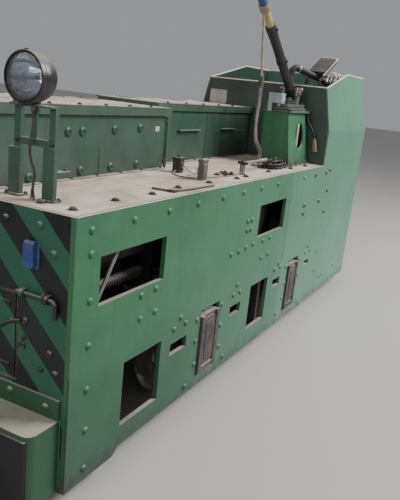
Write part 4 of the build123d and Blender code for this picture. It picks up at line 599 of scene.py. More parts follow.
# each finish's maker, name, colours and settings; a name that is a slot of the record is that slot's finish
FINISHES = (
    (painted, "body_green", ("green", "green_dark"), dict(pale=0.12, dust=0.5, sides=0.03, far_light_and_dust=0.4)),
    (painted, "rivet_green", ("green", "green_dark"), dict(pale=0.12, dust=0.22, sides=0.0, rust=0.25,
                                                           far_light_and_dust=0.4)),
    (painted, "hood_green", ("green_hood", "hood_stain"), dict(pale=0.12, runs=0.5, sides=0.04, foot=0.6)),
    (painted, "pedestal_green", ("green", "green_hood"), dict(pale=0.3, dust=0.6, sides=0.04, foot=0.9)),
    (painted, "bolt_green", ("green_hood", "green_dark"), dict(pale=0.05, dust=0.2, sides=0.0, rust=0.3)),
    (painted, "beam_green", ("green_beam", "green_dark"), dict(pale=0.05, dust=0.55, sides=0.03)),
    # painted shade: the cab's front wall takes the darker shade green because it lies in shade
    (painted, "cab_wall_shaded", ("cab_shade_green", "green_dark"), dict(pale=0.08, runs=0.5, sides=0.05)),
    (painted, "front_stripes", ("green_stripe", "green_dark"),
     dict(pale=0.05, runs=0.12, stripes=True, sides=0.0, dust=0.5)),
    (painted, "bolt_painted", ("soot", "green_dark"), dict(pale=0.05, dust=0.45, sides=0.03, rust=0.3)),
    (painted, "lid_green", ("green_hood", "hood_stain"), dict(pale=0.12, dust=1.0, sides=0.04, stain=0.35)),
    (painted, "deck_dusty", ("stain", "grime"), dict(pale=0.1, dust=1.0, rust=0.9, stain=0.45)),
    (painted, "frame_black", ("soot", "grime"), dict(pale=0.1, dust=0.8, sides=0.03)),
    (painted, "base_grey", ("base_coat", "green_dark"), dict(pale=0.15, dust=0.6)),
    (painted, "box_grey", ("box_paint", "grey"), dict(pale=0.1, dust=0.4)),
    (painted, "instrument_black", ("soot", "black"), dict(pale=0.05, dust=0.15, sides=0.0, rust=0.3)),
    (painted, "pole_black", ("soot", "black"), dict(pale=0.12, dust=0.25, sides=0.02, rust=0.3, bump=0.8)),
    (painted, "lamp_black", ("black", "soot"), dict(pale=0.05, dust=0.45, sides=0.02, rust=0.15, gloss=0.3)),
    (painted, "plate_cream", ("plate", "grey"), dict(pale=0.05, dust=0.3, rust=0.6)),
    (painted, "controller_grey", ("grey", "black"), dict(pale=0.2)),
    (painted, "beam_black", ("stripe_black", "soot"),
     dict(pale=0.0, dust=0.35, sides=0.0, rust=0.15, runs=0.1)),
    # pale edge rods: partly dust and wear on the edges, partly painted highlight where the edges catch the
    # light
    (painted, "edge_dust_and_highlight", ("dust", "grey"), dict(pale=0.0, dust=0.9, sides=0.4, rust=0.3)),
    (cast_iron, "coupler_iron", ("iron_dark", "iron"), dict(rust=0.6)),
    (cast_iron, "axlebox_iron", ("iron", "iron_dark"), dict(rust=0.1, sides=0.08)),
    (cast_iron, "chain_dark", ("soot", "iron_dark"), dict(rust=0.3, dust=0.12, sides=0.0)),
    (cast_iron, "motor_iron", ("iron_dark", "grime"), dict(rust=0.3, dust=0.7, sides=0.22)),
    (cast_iron, "resistor_rust", ("grime", "iron_dark"), dict(rust=0.7, dust=0.3, sides=0.03)),
    (cast_iron, "spring_steel", ("rust", "iron_dark"), dict(rust=0.7, dust=0.4)),
    (cast_iron, "shoe_steel", ("iron", "steel"), {}),
    (cast_iron, "block_grey", ("block_paint", "iron_dark"), dict(rust=0.2)),
    (bare_steel, "axle_steel", ("steel",), {}),
    (bare_steel, "rest_grey", ("steel",), dict(rust=0.5, dust=0.5)),
    (bare_steel, "bolt_steel", ("iron",), dict(rust=0.7, dust=0.4, rough=0.55)),
    (rubber, "switch_black", ("black",), dict(sides=0.05, rough=0.5)),
    (rubber, "arm_black", ("soot",), dict(dust=0.18, sides=0.02)),
    (rubber, "lamp_lead", ("lead_sheath",), dict(dust=0.3, sides=0.06)),
    (rubber, "wire_white", ("wire_white",), {}),
    (rubber, "wire_brown", ("wire_brown",), {}),
    (rubber, "grip_brown", ("grip",), {}),
    (rubber, "socket_blue", ("socket_blue",), dict(dust=0.25, sides=0.1, rough=0.45)),
    (wood, "pole_wood", (), {}),
    (vinyl, "seat_vinyl", (), {}),
    (fibre, "rope_fibre", ("rope",), dict(strands=150.0)),
    (fibre, "tape_blue", ("tape",), dict(strands=500 / 6)),
    (lamp_glass, "lamp_glass", (), {}),
    (mirror_metal, "reflector", (), {}),
)
# finishes of single nodes
NODE_FINISHES = {
    "rear_wheels": "rear_wheel_steel", "front_hood": "hood_green", "rear_hood": "hood_green",
    "headlight_bracket": "hood_green", "front_beam": "beam_green", "rear_beam": "beam_green",
    "cab_front_wall": "cab_wall_shaded", "collector_pedestal": "pedestal_green", "hatch_bolt": "bolt_painted",
    "instrument_frame": "instrument_black",
}


def make_materials(tints):
    """Every finish."""
    for make, name, colours, settings in FINISHES:
        make(tints, name, *(getattr(tints, own) for own in colours), **settings)
    # the coiled cable's pale sheath is a painted highlight, standing for bright reflections on black cable
    rubber(tints, "cable_sheath", tints.highlight_sheath, dust=0.1, sides=0.02, second=tints.red_sheath)
    for name, axle_back in zip(("wheel_steel", "rear_wheel_steel"), AXLE_BACKS):
        wheel_steel(tints, name, axle_back)


# Mesh tools. A place is a point in metres, or a (back, inboard, height) in millimetres.

def spot(place):
    """The point that a place is."""
    return place if isinstance(place, Vector) else at(*place)


def around(count, radius, turned=0.0):
    """Steps out from a middle, level and evenly spaced round a circle."""
    for step in range(count):
        angle = step * math.tau / count + turned
        yield Vector((math.cos(angle), math.sin(angle), 0)) * radius


def upright(normal):
    """A turn that takes Z onto a direction."""
    return Vector(normal).to_track_quat("Z", "Y").to_matrix().to_4x4()


def soften(bm, edges, width, segments=2):
    """Bevels edges."""
    bmesh.ops.bevel(bm, geom=edges, offset=width, offset_type="OFFSET", affect="EDGES", segments=segments,
                    profile=0.5, material=-1, clamp_overlap=True)


def edges_of(verts):
    """All edges that meet some vertices."""
    return list({edge for vert in verts for edge in vert.link_edges})


def add_rod(bm, start, end, radius, end_radius=None, segments=24, bevel=0.0):
    """A round bar or cone between two places, its rims bevelled if asked."""
    start, end = spot(start), spot(end)
    place = Matrix.Translation((start + end) / 2) @ upright(end - start)
    rod = bmesh.ops.create_cone(bm, cap_ends=True, segments=segments, radius1=radius,
                                radius2=radius if end_radius is None else end_radius,
                                depth=(end - start).length, matrix=place)["verts"]
    if bevel:
        rims = [edge for edge in edges_of(rod) if any(len(face.verts) > 4 for face in edge.link_faces)]
        soften(bm, rims, bevel)


def add_block(bm, low, high, bevel=0.0, turn=None):
    """A box between two places, bevelled if asked, and its corners' vertices where it isn't."""
    low, high = spot(low), spot(high)
    size = Matrix.Diagonal((*[abs(side) for side in high - low], 1))
    cube = bmesh.ops.create_cube(bm, size=1, matrix=Matrix.Translation((low + high) / 2)
                                 @ (turn or Matrix()) @ size)["verts"]
    if bevel:
        soften(bm, edges_of(cube), bevel)
    return cube


def add_blocks(bm, bevel, *boxes):
    """Boxes, each given by the six numbers of its two corners."""
    for box in boxes:
        add_block(bm, box[:3], box[3:], bevel)


def add_turned(bm, profile, centre, axis, segments=32):
    """A shape turned round an axis from its profile of (along, radius) points."""
    centre, turn = spot(centre), upright(axis)
    ring = [bm.verts.new(centre + turn @ Vector((radius, 0, along))) for along, radius in profile]
    edges = [bm.edges.new(pair) for pair in zip(ring, ring[1:])]
    bmesh.ops.spin(bm, geom=ring + edges, cent=centre, axis=Vector(axis).normalized(), angle=math.tau,
                   steps=segments, use_merge=True)


def add_band(bm, start, end, inner, outer, centre, axis, segments=32, chamfer=0.0):
    """A flat ring from start to end along an axis, with its outer corners drawn in by a chamfer."""
    add_turned(bm, ((start, inner), (start + chamfer, outer), (end - chamfer, outer), (end, inner),
                    (start, inner)), centre, axis, segments)


def add_ring(bm, centre, axis, radius, thick, segments=28, sides=10):
    """A closed ring of round bar, thick in radius."""
    turns = [side * math.tau / sides for side in range(sides)] + [0.0]
    section = [(thick * math.sin(turn), radius + thick * math.cos(turn)) for turn in turns]
    add_turned(bm, section, centre, axis, segments)


def curve_through(name, points, radius, sides, smooth=8):
    """A smooth open curve that has the points as its control points."""
    line = bpy.data.curves.new(name, "CURVE")
    line.dimensions = "3D"
    line.bevel_depth, line.bevel_resolution = radius, sides
    line.use_fill_caps = True
    line.resolution_u = smooth
    spline = line.splines.new("NURBS")
    spline.points.add(len(points) - 1)
    for point, place in zip(spline.points, points):
        point.co = (*place, 1)
    spline.order_u = 3
    spline.use_endpoint_u = True
    return line


def link(name, data):
    """An object for some data, in the scene."""
    made = bpy.data.objects.new(name, data)
    bpy.context.scene.collection.objects.link(made)
    return made


def final_mesh(obj):
    """A copy of the mesh that an object shows."""
    bpy.context.view_layer.update()
    return bpy.data.meshes.new_from_object(obj.evaluated_get(bpy.context.evaluated_depsgraph_get()))


def mesh_of_curve(line):
    """The mesh that a curve shows."""
    holder = link("curve_holder", line)
    mesh = final_mesh(holder)
    bpy.data.objects.remove(holder)
    return mesh


def add_wire(bm, places, radius, sides=3):
    """A bent wire, hose or bead along a few places."""
    mesh = mesh_of_curve(curve_through("wire_line", [spot(place) for place in places], radius, sides))
    bm.from_mesh(mesh)
    bpy.data.meshes.remove(mesh)


def points_along(places, smooth=8):
    """Points read along the smooth curve through a route."""
    mesh = mesh_of_curve(curve_through("reading_line", [spot(place) for place in places], 0.0, 0, smooth))
    read = [vert.co.copy() for vert in mesh.vertices]
    bpy.data.meshes.remove(mesh)
    return read


def ride(made, body, material, replaces=()):
    """Gives a new piece its finish, its body and the nodes that it stands for."""
    made.data.materials.append(bpy.data.materials[material])
    if body:
        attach(made, body)
    if replaces:
        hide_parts(*replaces)
    return made


def finish_piece(name, bm, body, material, replaces=(), flat_angle=35):
    """Turns a bmesh into a piece that rides on a body."""
    bmesh.ops.remove_doubles(bm, verts=bm.verts, dist=1e-5)
    bmesh.ops.recalc_face_normals(bm, faces=bm.faces)
    for face in bm.faces:
        face.smooth = True
    mesh = bpy.data.meshes.new(name)
    bm.to_mesh(mesh)
    bm.free()
    mesh.set_sharp_from_angle(angle=math.radians(flat_angle))
    return ride(link(name, mesh), body, material, replaces)


@contextlib.contextmanager
def piece(name, material, body="root", replaces=(), flat_angle=35):
    """A bmesh to fill, which becomes a finished piece when the block ends."""
    bm = bmesh.new()
    yield bm
    finish_piece(name, bm, body, material, replaces, flat_angle)


def lay_cord(name, route, diameter, material, length=None, replaces=(), with_pieces=(), smooth=8, **facts):
    """A free cord along its route."""
    points = [at(*point) for point in route]
    cord = ride(link(name, curve_through(name, points, diameter / 2, 5, smooth)), "root", material, replaces)
    read = points_along(points)
    facts = {"far_end": "object", "stiffness": "medium", "lay": "hanging", **facts}


# Small shapes round the origin along Z, each made once and stamped where it is needed

def shape_of(build):
    """A small shape's mesh."""
    name = build.__name__
    if name not in bpy.data.meshes:
        bm = bmesh.new()
        build(bm)
        bmesh.ops.remove_doubles(bm, verts=bm.verts, dist=1e-6)
        bmesh.ops.recalc_face_normals(bm, faces=bm.faces)
        bm.to_mesh(bpy.data.meshes.new(name))
        bm.free()
    return bpy.data.meshes[name]


def stamp(bm, build, place):
    """Adds a copy of a small shape at its place."""
    placed = shape_of(build).copy()
    placed.transform(place)
    bm.from_mesh(placed)
    bpy.data.meshes.remove(placed)


def heads(bm, build, places, normal, radius, rise, turn=None):
    """Rivet or bolt heads of a radius and a rise on a surface."""
    for place in places:
        stamp(bm, build, Matrix.Translation(spot(place)) @ upright(normal)
              @ Matrix.Diagonal((radius, radius, rise, 1)) @ (turn or Matrix()))


def rivet(bm):
    """A low round head, flat below."""
    ball = bmesh.ops.create_uvsphere(bm, u_segments=12, v_segments=8, radius=1)["verts"]
    geom = ball + edges_of(ball) + list({face for vert in ball for face in vert.link_faces})
    cut = bmesh.ops.bisect_plane(bm, geom=geom, plane_co=(0, 0, 0), plane_no=(0, 0, 1), clear_inner=True)
    open_edges = [item for item in cut["geom_cut"] if isinstance(item, bmesh.types.BMEdge)]
    bmesh.ops.edgeloop_fill(bm, edges=open_edges)


def bolt(bm):
    """A bolt head one unit across its half width, on a washer."""
    add_rod(bm, UP * -0.05, UP * 0.14, 1.35, segments=20)
    add_rod(bm, UP * 0.14, UP * 0.8, 1.0, segments=6, bevel=0.09)
    add_rod(bm, UP * 0.8, UP * 1.05, 0.5, 0.45, segments=12)


def pan(bm):
    """A wide round head with a stepped rim and a sunk middle."""
    profile = ((-0.05, 1.0), (0.12, 1.0), (0.3, 0.86), (0.42, 0.62), (0.42, 0.34), (0.28, 0.28), (0.28, 0.0))
    add_turned(bm, profile + ((-0.05, 0.0), (-0.05, 1.0)), Vector(), UP, 20)


def weld_drop(bm):
    """One drop of weld metal."""
    bmesh.ops.create_icosphere(bm, subdivisions=1, radius=1)


def chain_link(bm):
    """A long link of round bar."""
    add_ring(bm, Vector(), UP, 0.0165, 0.0056, 16, 8)
    for vert in bm.verts:
        if abs(vert.co.x) > 0.004:
            vert.co.x += math.copysign(0.011, vert.co.x)


def resistor_turn(bm):
    """One turn of a resistor's wire."""
    add_ring(bm, Vector(), UP, 0.0225, 0.0026, 12, 4)


def add_weld(bm, start, end, normal, width):
    """A weld bead: overlapping flat drops of metal from one place to another."""
    start, end = spot(start), spot(end)
    draw = random.Random(round((start + end).length * 10000))
    count = max(2, int((end - start).length / (width * 0.62)))
    for step in range(count + 1):
        size = width / 2 * draw.uniform(0.85, 1.2)
        turn = upright(normal) @ Matrix.Rotation(draw.uniform(0, math.tau), 4, "Z")
        stamp(bm, weld_drop, Matrix.Translation(start.lerp(end, step / count)) @ turn
              @ Matrix.Diagonal((size, size, size * 0.55, 1)))


# Operators

class LOCO_OT_paint(bpy.types.Operator):
    """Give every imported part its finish"""
    bl_idname = "loco.paint"
    bl_label = "Paint the packed parts"

    def execute(self, context):
        for plain in list(bpy.data.materials):
            bpy.data.materials.remove(plain)
        for make in (make_patches_group, make_dust_group, make_edge_group, make_height_group):
            make()
        make_materials(context.scene.loco_colours)
        for part in frame["record"]["subparts"]:
            mesh = frame["nodes"][part["node"]].data
            finish = bpy.data.materials[NODE_FINISHES.get(part["node"], part["material_slot"])]
            if not mesh.materials:
                mesh.materials.append(finish)
            for index in range(len(mesh.materials)):
                mesh.materials[index] = finish
        return {"FINISHED"}


class LOCO_OT_lamp_lead(bpy.types.Operator):
    """Hang the lead from the headlight's bracket down to the deck"""
    bl_idname = "loco.lamp_lead"
    bl_label = "Headlight lead"

    def execute(self, context):
        sleeve = ((-0.002, 0), (-0.002, 0.0088), (0.004, 0.0085), (0.006, 0.0068), (0.028, 0.0052),
                  (0.029, 0))
        with piece("lamp_lead_sleeves", "switch_black") as bm:
            for place, direction in ((LAMP_ROUTE[0], -UP), (LAMP_ROUTE[-1], UP)):
                add_turned(bm, sleeve, place, direction, 18)
        lay_cord("lamp_lead", LAMP_ROUTE, context.scene.loco_sizes.lead_diameter, "lamp_lead",
                 LAMP_LEAD_LENGTH, ("lamp_cable",), ("lamp_lead_sleeves",))
        return {"FINISHED"}


class LOCO_OT_coiled_cable(bpy.types.Operator):
    """Lay the coiled cable in its tray in the cab"""
    bl_idname = "loco.coiled_cable"
    bl_label = "Coiled cab cable"

    def execute(self, context):
        sizes = context.scene.loco_sizes
        inboard, height = COIL_AXIS
        first, steps_per_turn = COIL_START[0] + 28, 14
        points = [COIL_START, (COIL_START[0] + 16, *COIL_START[1:])]
        count = int(sizes.coil_turns * steps_per_turn)
        for step in range(count + 1):
            share = step / count
            angle = math.radians(238) - share * sizes.coil_turns * math.tau
            spread = sizes.coil_radius / MM * (1 + 0.08 * math.sin(2.3 * angle)) + 3
            points.append((first + share * (COIL_END_BACK - first - 34), inboard - spread * math.cos(angle),
                           height + spread * math.sin(angle)))
        points.append((COIL_END_BACK, *points[-1][1:]))
        gland = ((-0.002, 0), (-0.002, 0.012), (0.003, 0.012), (0.006, 0.0085), (0.021, 0.0072), (0.022, 0))
        with piece("coiled_cable_glands", "switch_black") as bm:
            for place, direction in ((COIL_START, -FORWARD), (points[-1], FORWARD)):
                add_turned(bm, gland, place, direction, 18)
        lay_cord("coiled_cable", points, sizes.coil_cable, "cable_sheath", COILED_CABLE_LENGTH,
                 ("cab_cable",), ("coiled_cable_glands",), 4, lay="coiled")
        return {"FINISHED"}


class LOCO_OT_plate_rivets(bpy.types.Operator):
    """Rivet both side plates, the front plate and the beams"""
    bl_idname = "loco.plate_rivets"
    bl_label = "Plate rivets"

    def execute(self, context):
        size = (context.scene.loco_sizes.rivet_radius, context.scene.loco_sizes.rivet_rise)
        bare = {place for place in SIDE_RIVETS if place[0] > BARE_RIVETS[0] and place[1] > BARE_RIVETS[1]}
        kinds = (("", "rivet_green", set(SIDE_RIVETS) - bare), ("bare_", "bolt_painted", bare))
        for side, (inboard, _, normal) in zip(("left", "right"), SIDES):
            for kind, finish, places in kinds:
                row = [(back, inboard, height) for back, height in sorted(places)]
                with piece(f"{kind}side_rivets_{side}", finish) as bm:
                    heads(bm, rivet, row, normal, *size)
        with piece("front_rivets", "front_stripes") as bm:
            heads(bm, rivet, [(0, *place) for place in FRONT_RIVETS], FORWARD, *size)
        with piece("upstand_rivets", "beam_green") as bm:
            for back, normal in ((-10, FORWARD), (BODY_LENGTH + 10, -FORWARD)):
                heads(bm, rivet, [(back, *place) for place in UPSTAND_RIVETS], normal, *size)
        with piece("rear_rivets", "rivet_green") as bm:
            heads(bm, rivet, product((BODY_LENGTH,), (50, 600, 950), range(-560, 401, 160)), -FORWARD, *size)
        return {"FINISHED"}


class LOCO_OT_welds(bpy.types.Operator):
    """Lay the weld beads along the plates' joints"""
    bl_idname = "loco.welds"
    bl_label = "Weld beads"

    def execute(self, context):
        width = context.scene.loco_sizes.weld_radius * 2
        with piece("body_welds", "body_green") as bm:
            for face, side, out in SIDES:
                add_weld(bm, (2040, face, -60), (2040, face, -545), out, width * 0.6)
                add_weld(bm, (2644, face, 0), (BODY_LENGTH - 6, face, 0), out, width * 0.8)
                add_weld(bm, (2640, face + side * 4, 8), (2640, face + side * 8, 226), FORWARD + out, width)
                for end, forward in ((0, FORWARD), (BODY_LENGTH, -FORWARD)):
                    for inboard in (30, BODY_WIDTH - 30):
                        add_weld(bm, (end, inboard, -730), (end, inboard, -1004), forward + out, width * 1.35)
        with piece("front_edge_joint", "switch_black") as bm:
            for inboard in (1.2, BODY_WIDTH - 1.2):
                add_rod(bm, (0.8, inboard, -560), (0.8, inboard, -1012), 0.0021, segments=8)
        return {"FINISHED"}


class LOCO_OT_buffer_pads(bpy.types.Operator):
    """Face both beams with their rubbing pads and bolt the couplers on"""
    bl_idname = "loco.buffer_pads"
    bl_label = "Rubbing pads"

    def execute(self, context):
        with piece("rubbing_pads", "beam_black") as bm:
            for near, far in ((46, 372), (628, 954)):
                for back, out in ((-138, -20), (BODY_LENGTH + 138, 20)):
                    add_block(bm, (back, near, -1002), (back + out, far, -742), 0.005)
        with piece("coupler_bolts", "bolt_steel") as bm:
            for back, normal in ((-162, FORWARD), (BODY_LENGTH + 162, -FORWARD)):
                heads(bm, bolt, product((back,), (395, 500, 605), (-955, -775)), normal, 0.011, 0.009)
        return {"FINISHED"}


class LOCO_OT_hatch_fittings(bpy.types.Operator):
    """Frame the front hatch and fit its latch, rings and round bolts"""
    bl_idname = "loco.hatch_fittings"
    bl_label = "Hatch fittings"

    def execute(self, context):
        with piece("hatch_frame", "resistor_rust") as bm:
            add_blocks(bm, 0.0006, (1, 233, -638, -1.6, 237, -303), (1, 237, -638, -1.6, 744, -634),
                       (1, 237, -306, -1.6, 744, -302))
        with piece("hatch_bolts", "bolt_steel") as bm:
            heads(bm, pan, ((0, 198, -399), (0, 87, -491)), FORWARD, 0.014, 0.020)
            heads(bm, bolt, ((0, 203, -461), (0, 122, -560)), FORWARD, 0.008, 0.008)
            for place, axis, radius, thick in (((-11, 203, -474), LEFT + UP * 0.3, 0.012, 0.0022),
                                               ((-9, 208, -494), FORWARD + LEFT * 0.5, 0.012, 0.0022),
                                               ((-10, 107, -292), LEFT, 0.0185, 0.0032)):
                add_ring(bm, place, axis, radius, thick)
        with piece("latch_hook", "bolt_painted", "hatch") as bm:
            hook = ((-6, 217, -402), (-7, 246, -407), (-7, 285, -428), (-7, 316, -450), (-12, 322, -452))
            add_wire(bm, hook, 0.0052)
            heads(bm, pan, ((0, 262, -414), (0, 700, -340), (0, 700, -600)), FORWARD, 0.010, 0.016)
        with piece("hatch_stiffeners", "front_stripes", "hatch") as bm:
            for height in (-352, -588):
                add_block(bm, (1, 268, height - 9), (-3.5, 690, height + 9), 0.0012)
        return {"FINISHED"}


class LOCO_OT_front_socket(bpy.types.Operator):
    """Rib the blue socket's cap and screw its flange on"""
    bl_idname = "loco.front_socket"
    bl_label = "Blue socket's cap"

    def execute(self, context):
        near, far, top, low = FRONT_SOCKET
        with piece("front_socket_ribs", "socket_blue") as bm:
            for index in range(7):
                inboard = near + 5 + index * (far - near - 10) / 6
                add_rod(bm, (-24, inboard, top - 5), (-24, inboard, low + 22), 0.0028, segments=10)
            add_rod(bm, (-12, near + 1, top), (-12, far - 1, top), 0.0118, bevel=0.002)
            add_blocks(bm, 0.0015, (1, near - 7, low - 7, -3, far + 7, top + 9),
                       (0, near - 1.5, low + 12, -26, far + 1.5, low + 18))
        with piece("front_socket_screws", "bolt_steel") as bm:
            heads(bm, pan, product((-3,), (near - 3, far + 3), (low - 3, top + 5)), FORWARD, 0.003, 0.005)
        return {"FINISHED"}


class LOCO_OT_deck_bolts(bpy.types.Operator):
    """Bolt the deck down along both edges"""
    bl_idname = "loco.deck_bolts"
    bl_label = "Deck bolts"

    def execute(self, context):
        sizes = context.scene.loco_sizes
        with piece("deck_bolts", "bolt_steel") as bm:
            for back, inboard in DECK_BOLTS:
                heads(bm, bolt, ((back, inboard, 0),), UP, sizes.bolt_radius, sizes.bolt_rise,
                      Matrix.Rotation(back, 4, "Z"))
        return {"FINISHED"}


class LOCO_OT_deck_wiring(bpy.types.Operator):
    """Run the small wires between the switch box, the block and the lever"""
    bl_idname = "loco.deck_wiring"
    bl_label = "Deck wiring"

    def execute(self, context):
        diameter = context.scene.loco_sizes.deck_wire
        for name, finish, points in DECK_WIRES:
            lay_cord(name, points, diameter, finish, stiffness="limp")
        lay_cord("deck_cable", DECK_CABLE, diameter * 1.5, "wire_brown", lay="loose")
        with piece("switch_box_lid", "switch_black") as bm:
            add_block(bm, (1222, 332, 66), (1273, 383, 78), 0.002)
            add_block(bm, (1232, 331, 12), (1263, 336, 56), 0.0012)
            add_rod(bm, (1247, 357, 76), (1247, 357, 92), 0.008, 0.006, bevel=0.001)
        with piece("deck_block_lid", "block_grey") as bm:
            add_block(bm, (1112, 143, 88), (1168, 177, 101), 0.003)
            add_block(bm, (1119, 142, 14), (1161, 147, 78), 0.0015)
        with piece("deck_cleats", "bolt_steel") as bm:
            for back, inboard, span in ((1440, 176, 40), (1410, 150, 26), (1452, 140, 22)):
                add_block(bm, (back, inboard, -1), (back + span, inboard + 24, 11), 0.002)
                heads(bm, bolt, ((back + span / 2, inboard + 12, 11),), UP, 0.008, 0.009)
            add_rod(bm, (1120, 160, 101), (1120, 160, 108), 0.005, bevel=0.001)
        with piece("deck_bar", "resistor_rust") as bm:
            bar = ((686, 156, 5), (692, 118, 5), (706, 62, 5), (790, 47, 5), (900, 40, 5), (1016, 31, 5))
            add_wire(bm, bar, 0.0055)
            add_block(bm, (690, 50, -1), (722, 84, 12), 0.002)
        return {"FINISHED"}


class LOCO_OT_sand_lever(bpy.types.Operator):
    """Give the lever on the deck its tapered post, joint and handle"""
    bl_idname = "loco.sand_lever"
    bl_label = "Deck lever"

    def execute(self, context):
        post = ((0, 0), (0, 0.020), (0.005, 0.020), (0.006, 0.0105), (0.028, 0.0105), (0.048, 0.0125),
                (0.056, 0.0165), (0.068, 0.0160), (0.076, 0.010), (0.078, 0))
        grip = ((0, 0), (0, 0.0078), (0.004, 0.0095), (0.09, 0.0100), (0.096, 0.0075), (0.097, 0))
        with piece("lever_post", "chain_dark") as bm:
            add_turned(bm, post, (1560, 135, 0), UP, 24)
            add_rod(bm, (1560, 106, 62), (1560, 164, 62), 0.007, bevel=0.001)
        with piece("lever_grip", "rest_grey") as bm:
            add_turned(bm, grip, (1804, 135, 62), -FORWARD, 20)
        return {"FINISHED"}


class LOCO_OT_chain(bpy.types.Operator):
    """Heap the spare chain at the pedestal's foot"""
    bl_idname = "loco.chain"
    bl_label = "Heap of chain"

    def execute(self, context):
        draw = random.Random(5)
        # each row's inboard, height above the deck and number of links
        rows = ((110, 7, 8), (150, 7, 8), (190, 7, 7), (130, 22, 7), (168, 22, 6), (148, 36, 4))
        with piece("spare_chain", "chain_dark") as bm:
            for row, (inboard, lift, count) in enumerate(rows):
                for step in range(count):
                    back = 2204 - (step + 0.5 + row * 0.3) * 252 / count * (1 - lift / 120)
                    turn = (Matrix.Rotation(draw.uniform(-0.5, 0.5), 4, "Z")
                            @ Matrix.Rotation((step % 2) * 1.15 + draw.uniform(-0.2, 0.2), 4, "X"))
                    place = at(back, inboard + draw.uniform(-6, 6), lift + 4 + (step % 2) * 5)
                    stamp(bm, chain_link, Matrix.Translation(place) @ turn)
        return {"FINISHED"}


class LOCO_OT_hood_fittings(bpy.types.Operator):
    """Put the round bolts, the seams, the tag and the ledges on the hoods"""
    bl_idname = "loco.hood_fittings"
    bl_label = "Hood fittings"

    def execute(self, context):
        radius = context.scene.loco_sizes.hood_bolt_radius
        with piece("hood_bolts", "bolt_green") as bm:
            heads(bm, pan, [(back, 490, height) for back, height in HOOD_BOLTS], LEFT, radius, radius)
        with piece("hood_trim", "hood_green") as bm:
            for start, end, height in ((1600, 1858, 180), (2143, 2353, 183)):
                add_blocks(bm, 0.0012, (start, 580, height - 3, end, 556, height + 3),
                           (start + 10, 580, height - 15, end - 10, 575, height - 3))
            add_blocks(bm, 0.0012, (2108, 581, 8, 2560, 577, 176), (1955, 581, 2, 1962, 576, 288),
                       (752, 491, 4, 760, 487, 132), (104, 490, -1, 1306, 464, 4),
                       (1366, 580, -1, 2624, 554, 4))
            add_rod(bm, (1320, 483, 1), (1320, 483, 262), 0.0085, bevel=0.001)
            add_blocks(bm, 0.001, (1306, 481, 30, 1322, 497, 46), (1306, 481, 232, 1322, 497, 248))
        with piece("hood_foot_screws", "bolt_steel") as bm:
            heads(bm, bolt, product(range(190, 1300, 180), (475,), (4,)), UP, 0.0075, 0.007)
            heads(bm, bolt, product(range(1440, 2600, 190), (565,), (4,)), UP, 0.0075, 0.007)
            heads(bm, bolt, product((2122, 2546), (577,), (22, 162)), LEFT, 0.007, 0.006)
        with piece("hood_tag", "plate_cream") as bm:
            add_block(bm, (1212, 491, 190), (1250, 488, 216), 0.0008)
        return {"FINISHED"}


class LOCO_OT_lid_fittings(bpy.types.Operator):
    """Bolt the lids' near edges and strap their far ones"""
    bl_idname = "loco.lid_fittings"
    bl_label = "Lid fittings"

    def execute(self, context):
        for name, backs, near, level in (("front_lid", range(230, 1200, 186), 492, 310),
                                         ("rear_lid", range(1480, 2600, 210), 588, 330)):
            with piece(f"{name}_screws", "bolt_steel", name) as bm:
                heads(bm, bolt, product(backs, (near,), (level,)), UP, 0.009, 0.008)
            with piece(f"{name}_straps", "lid_green", name) as bm:
                for back in (backs[0] + 30, backs[len(backs) // 2] + 24, backs[-1] + 30):
                    add_block(bm, (back, 870, level - 1), (back + 42, 964, level + 4), 0.0012)
        return {"FINISHED"}


class LOCO_OT_headlight(bpy.types.Operator):
    """Fit the headlight's reflector, bulb, rim and fluted glass"""
    bl_idname = "loco.headlight"
    bl_label = "Headlight inside"

    def execute(self, context):
        centre = at(*LAMP_CENTRE)
        front = LAMP_DEPTH / 2 * MM
        bm = bmesh.new()
        bowl = [(0.037 - 0.085 * (1 - (share / 7) ** 2), 0.012 + 0.061 * share / 7) for share in range(8)]
        add_turned(bm, bowl + [(0.043, 0.0735)], centre, FORWARD, 40)
        bmesh.ops.remove_doubles(bm, verts=bm.verts, dist=1e-5)
        bmesh.ops.solidify(bm, geom=bm.faces[:], thickness=0.0012)
        finish_piece("headlight_reflector", bm, "root", "reflector", flat_angle=60)
        with piece("headlight_bulb", "lamp_glass") as bm:
            add_turned(bm, ((-0.046, 0), (-0.046, 0.010), (-0.026, 0.010), (-0.024, 0.0075), (-0.004, 0.0075),
                            (0.002, 0.005), (0.004, 0)), centre, FORWARD, 20)
        with piece("headlight_rim", "lamp_black") as bm:
            rim = ((-0.004, 0.0788), (0.0006, 0.0793), (0.0022, 0.0820), (0.0010, 0.0850), (-0.004, 0.0860),
                   (-0.018, 0.0860), (-0.021, 0.0830), (-0.004, 0.0788))
            add_turned(bm, rim, centre + FORWARD * front, FORWARD, 56)
            for reach, rise in ((0.006, 0.087), (0.009, -0.087)):
                place = centre + Vector((front - 0.010, 0, rise))
                add_rod(bm, place - LEFT * reach, place + LEFT * reach, 0.0042, segments=16, bevel=0.0006)
        with piece("headlight_flutes", "lamp_glass") as bm:
            radius, pitch = 0.077, 0.0078
            for rib in range(1, int(2 * radius / pitch)):
                across = -radius + rib * pitch
                half = math.sqrt(radius * radius - across * across) - 0.002
                middle = centre + Vector((front - 0.0062, across, 0))
                add_rod(bm, middle - UP * half, middle + UP * half, 0.0014, segments=8)
        return {"FINISHED"}


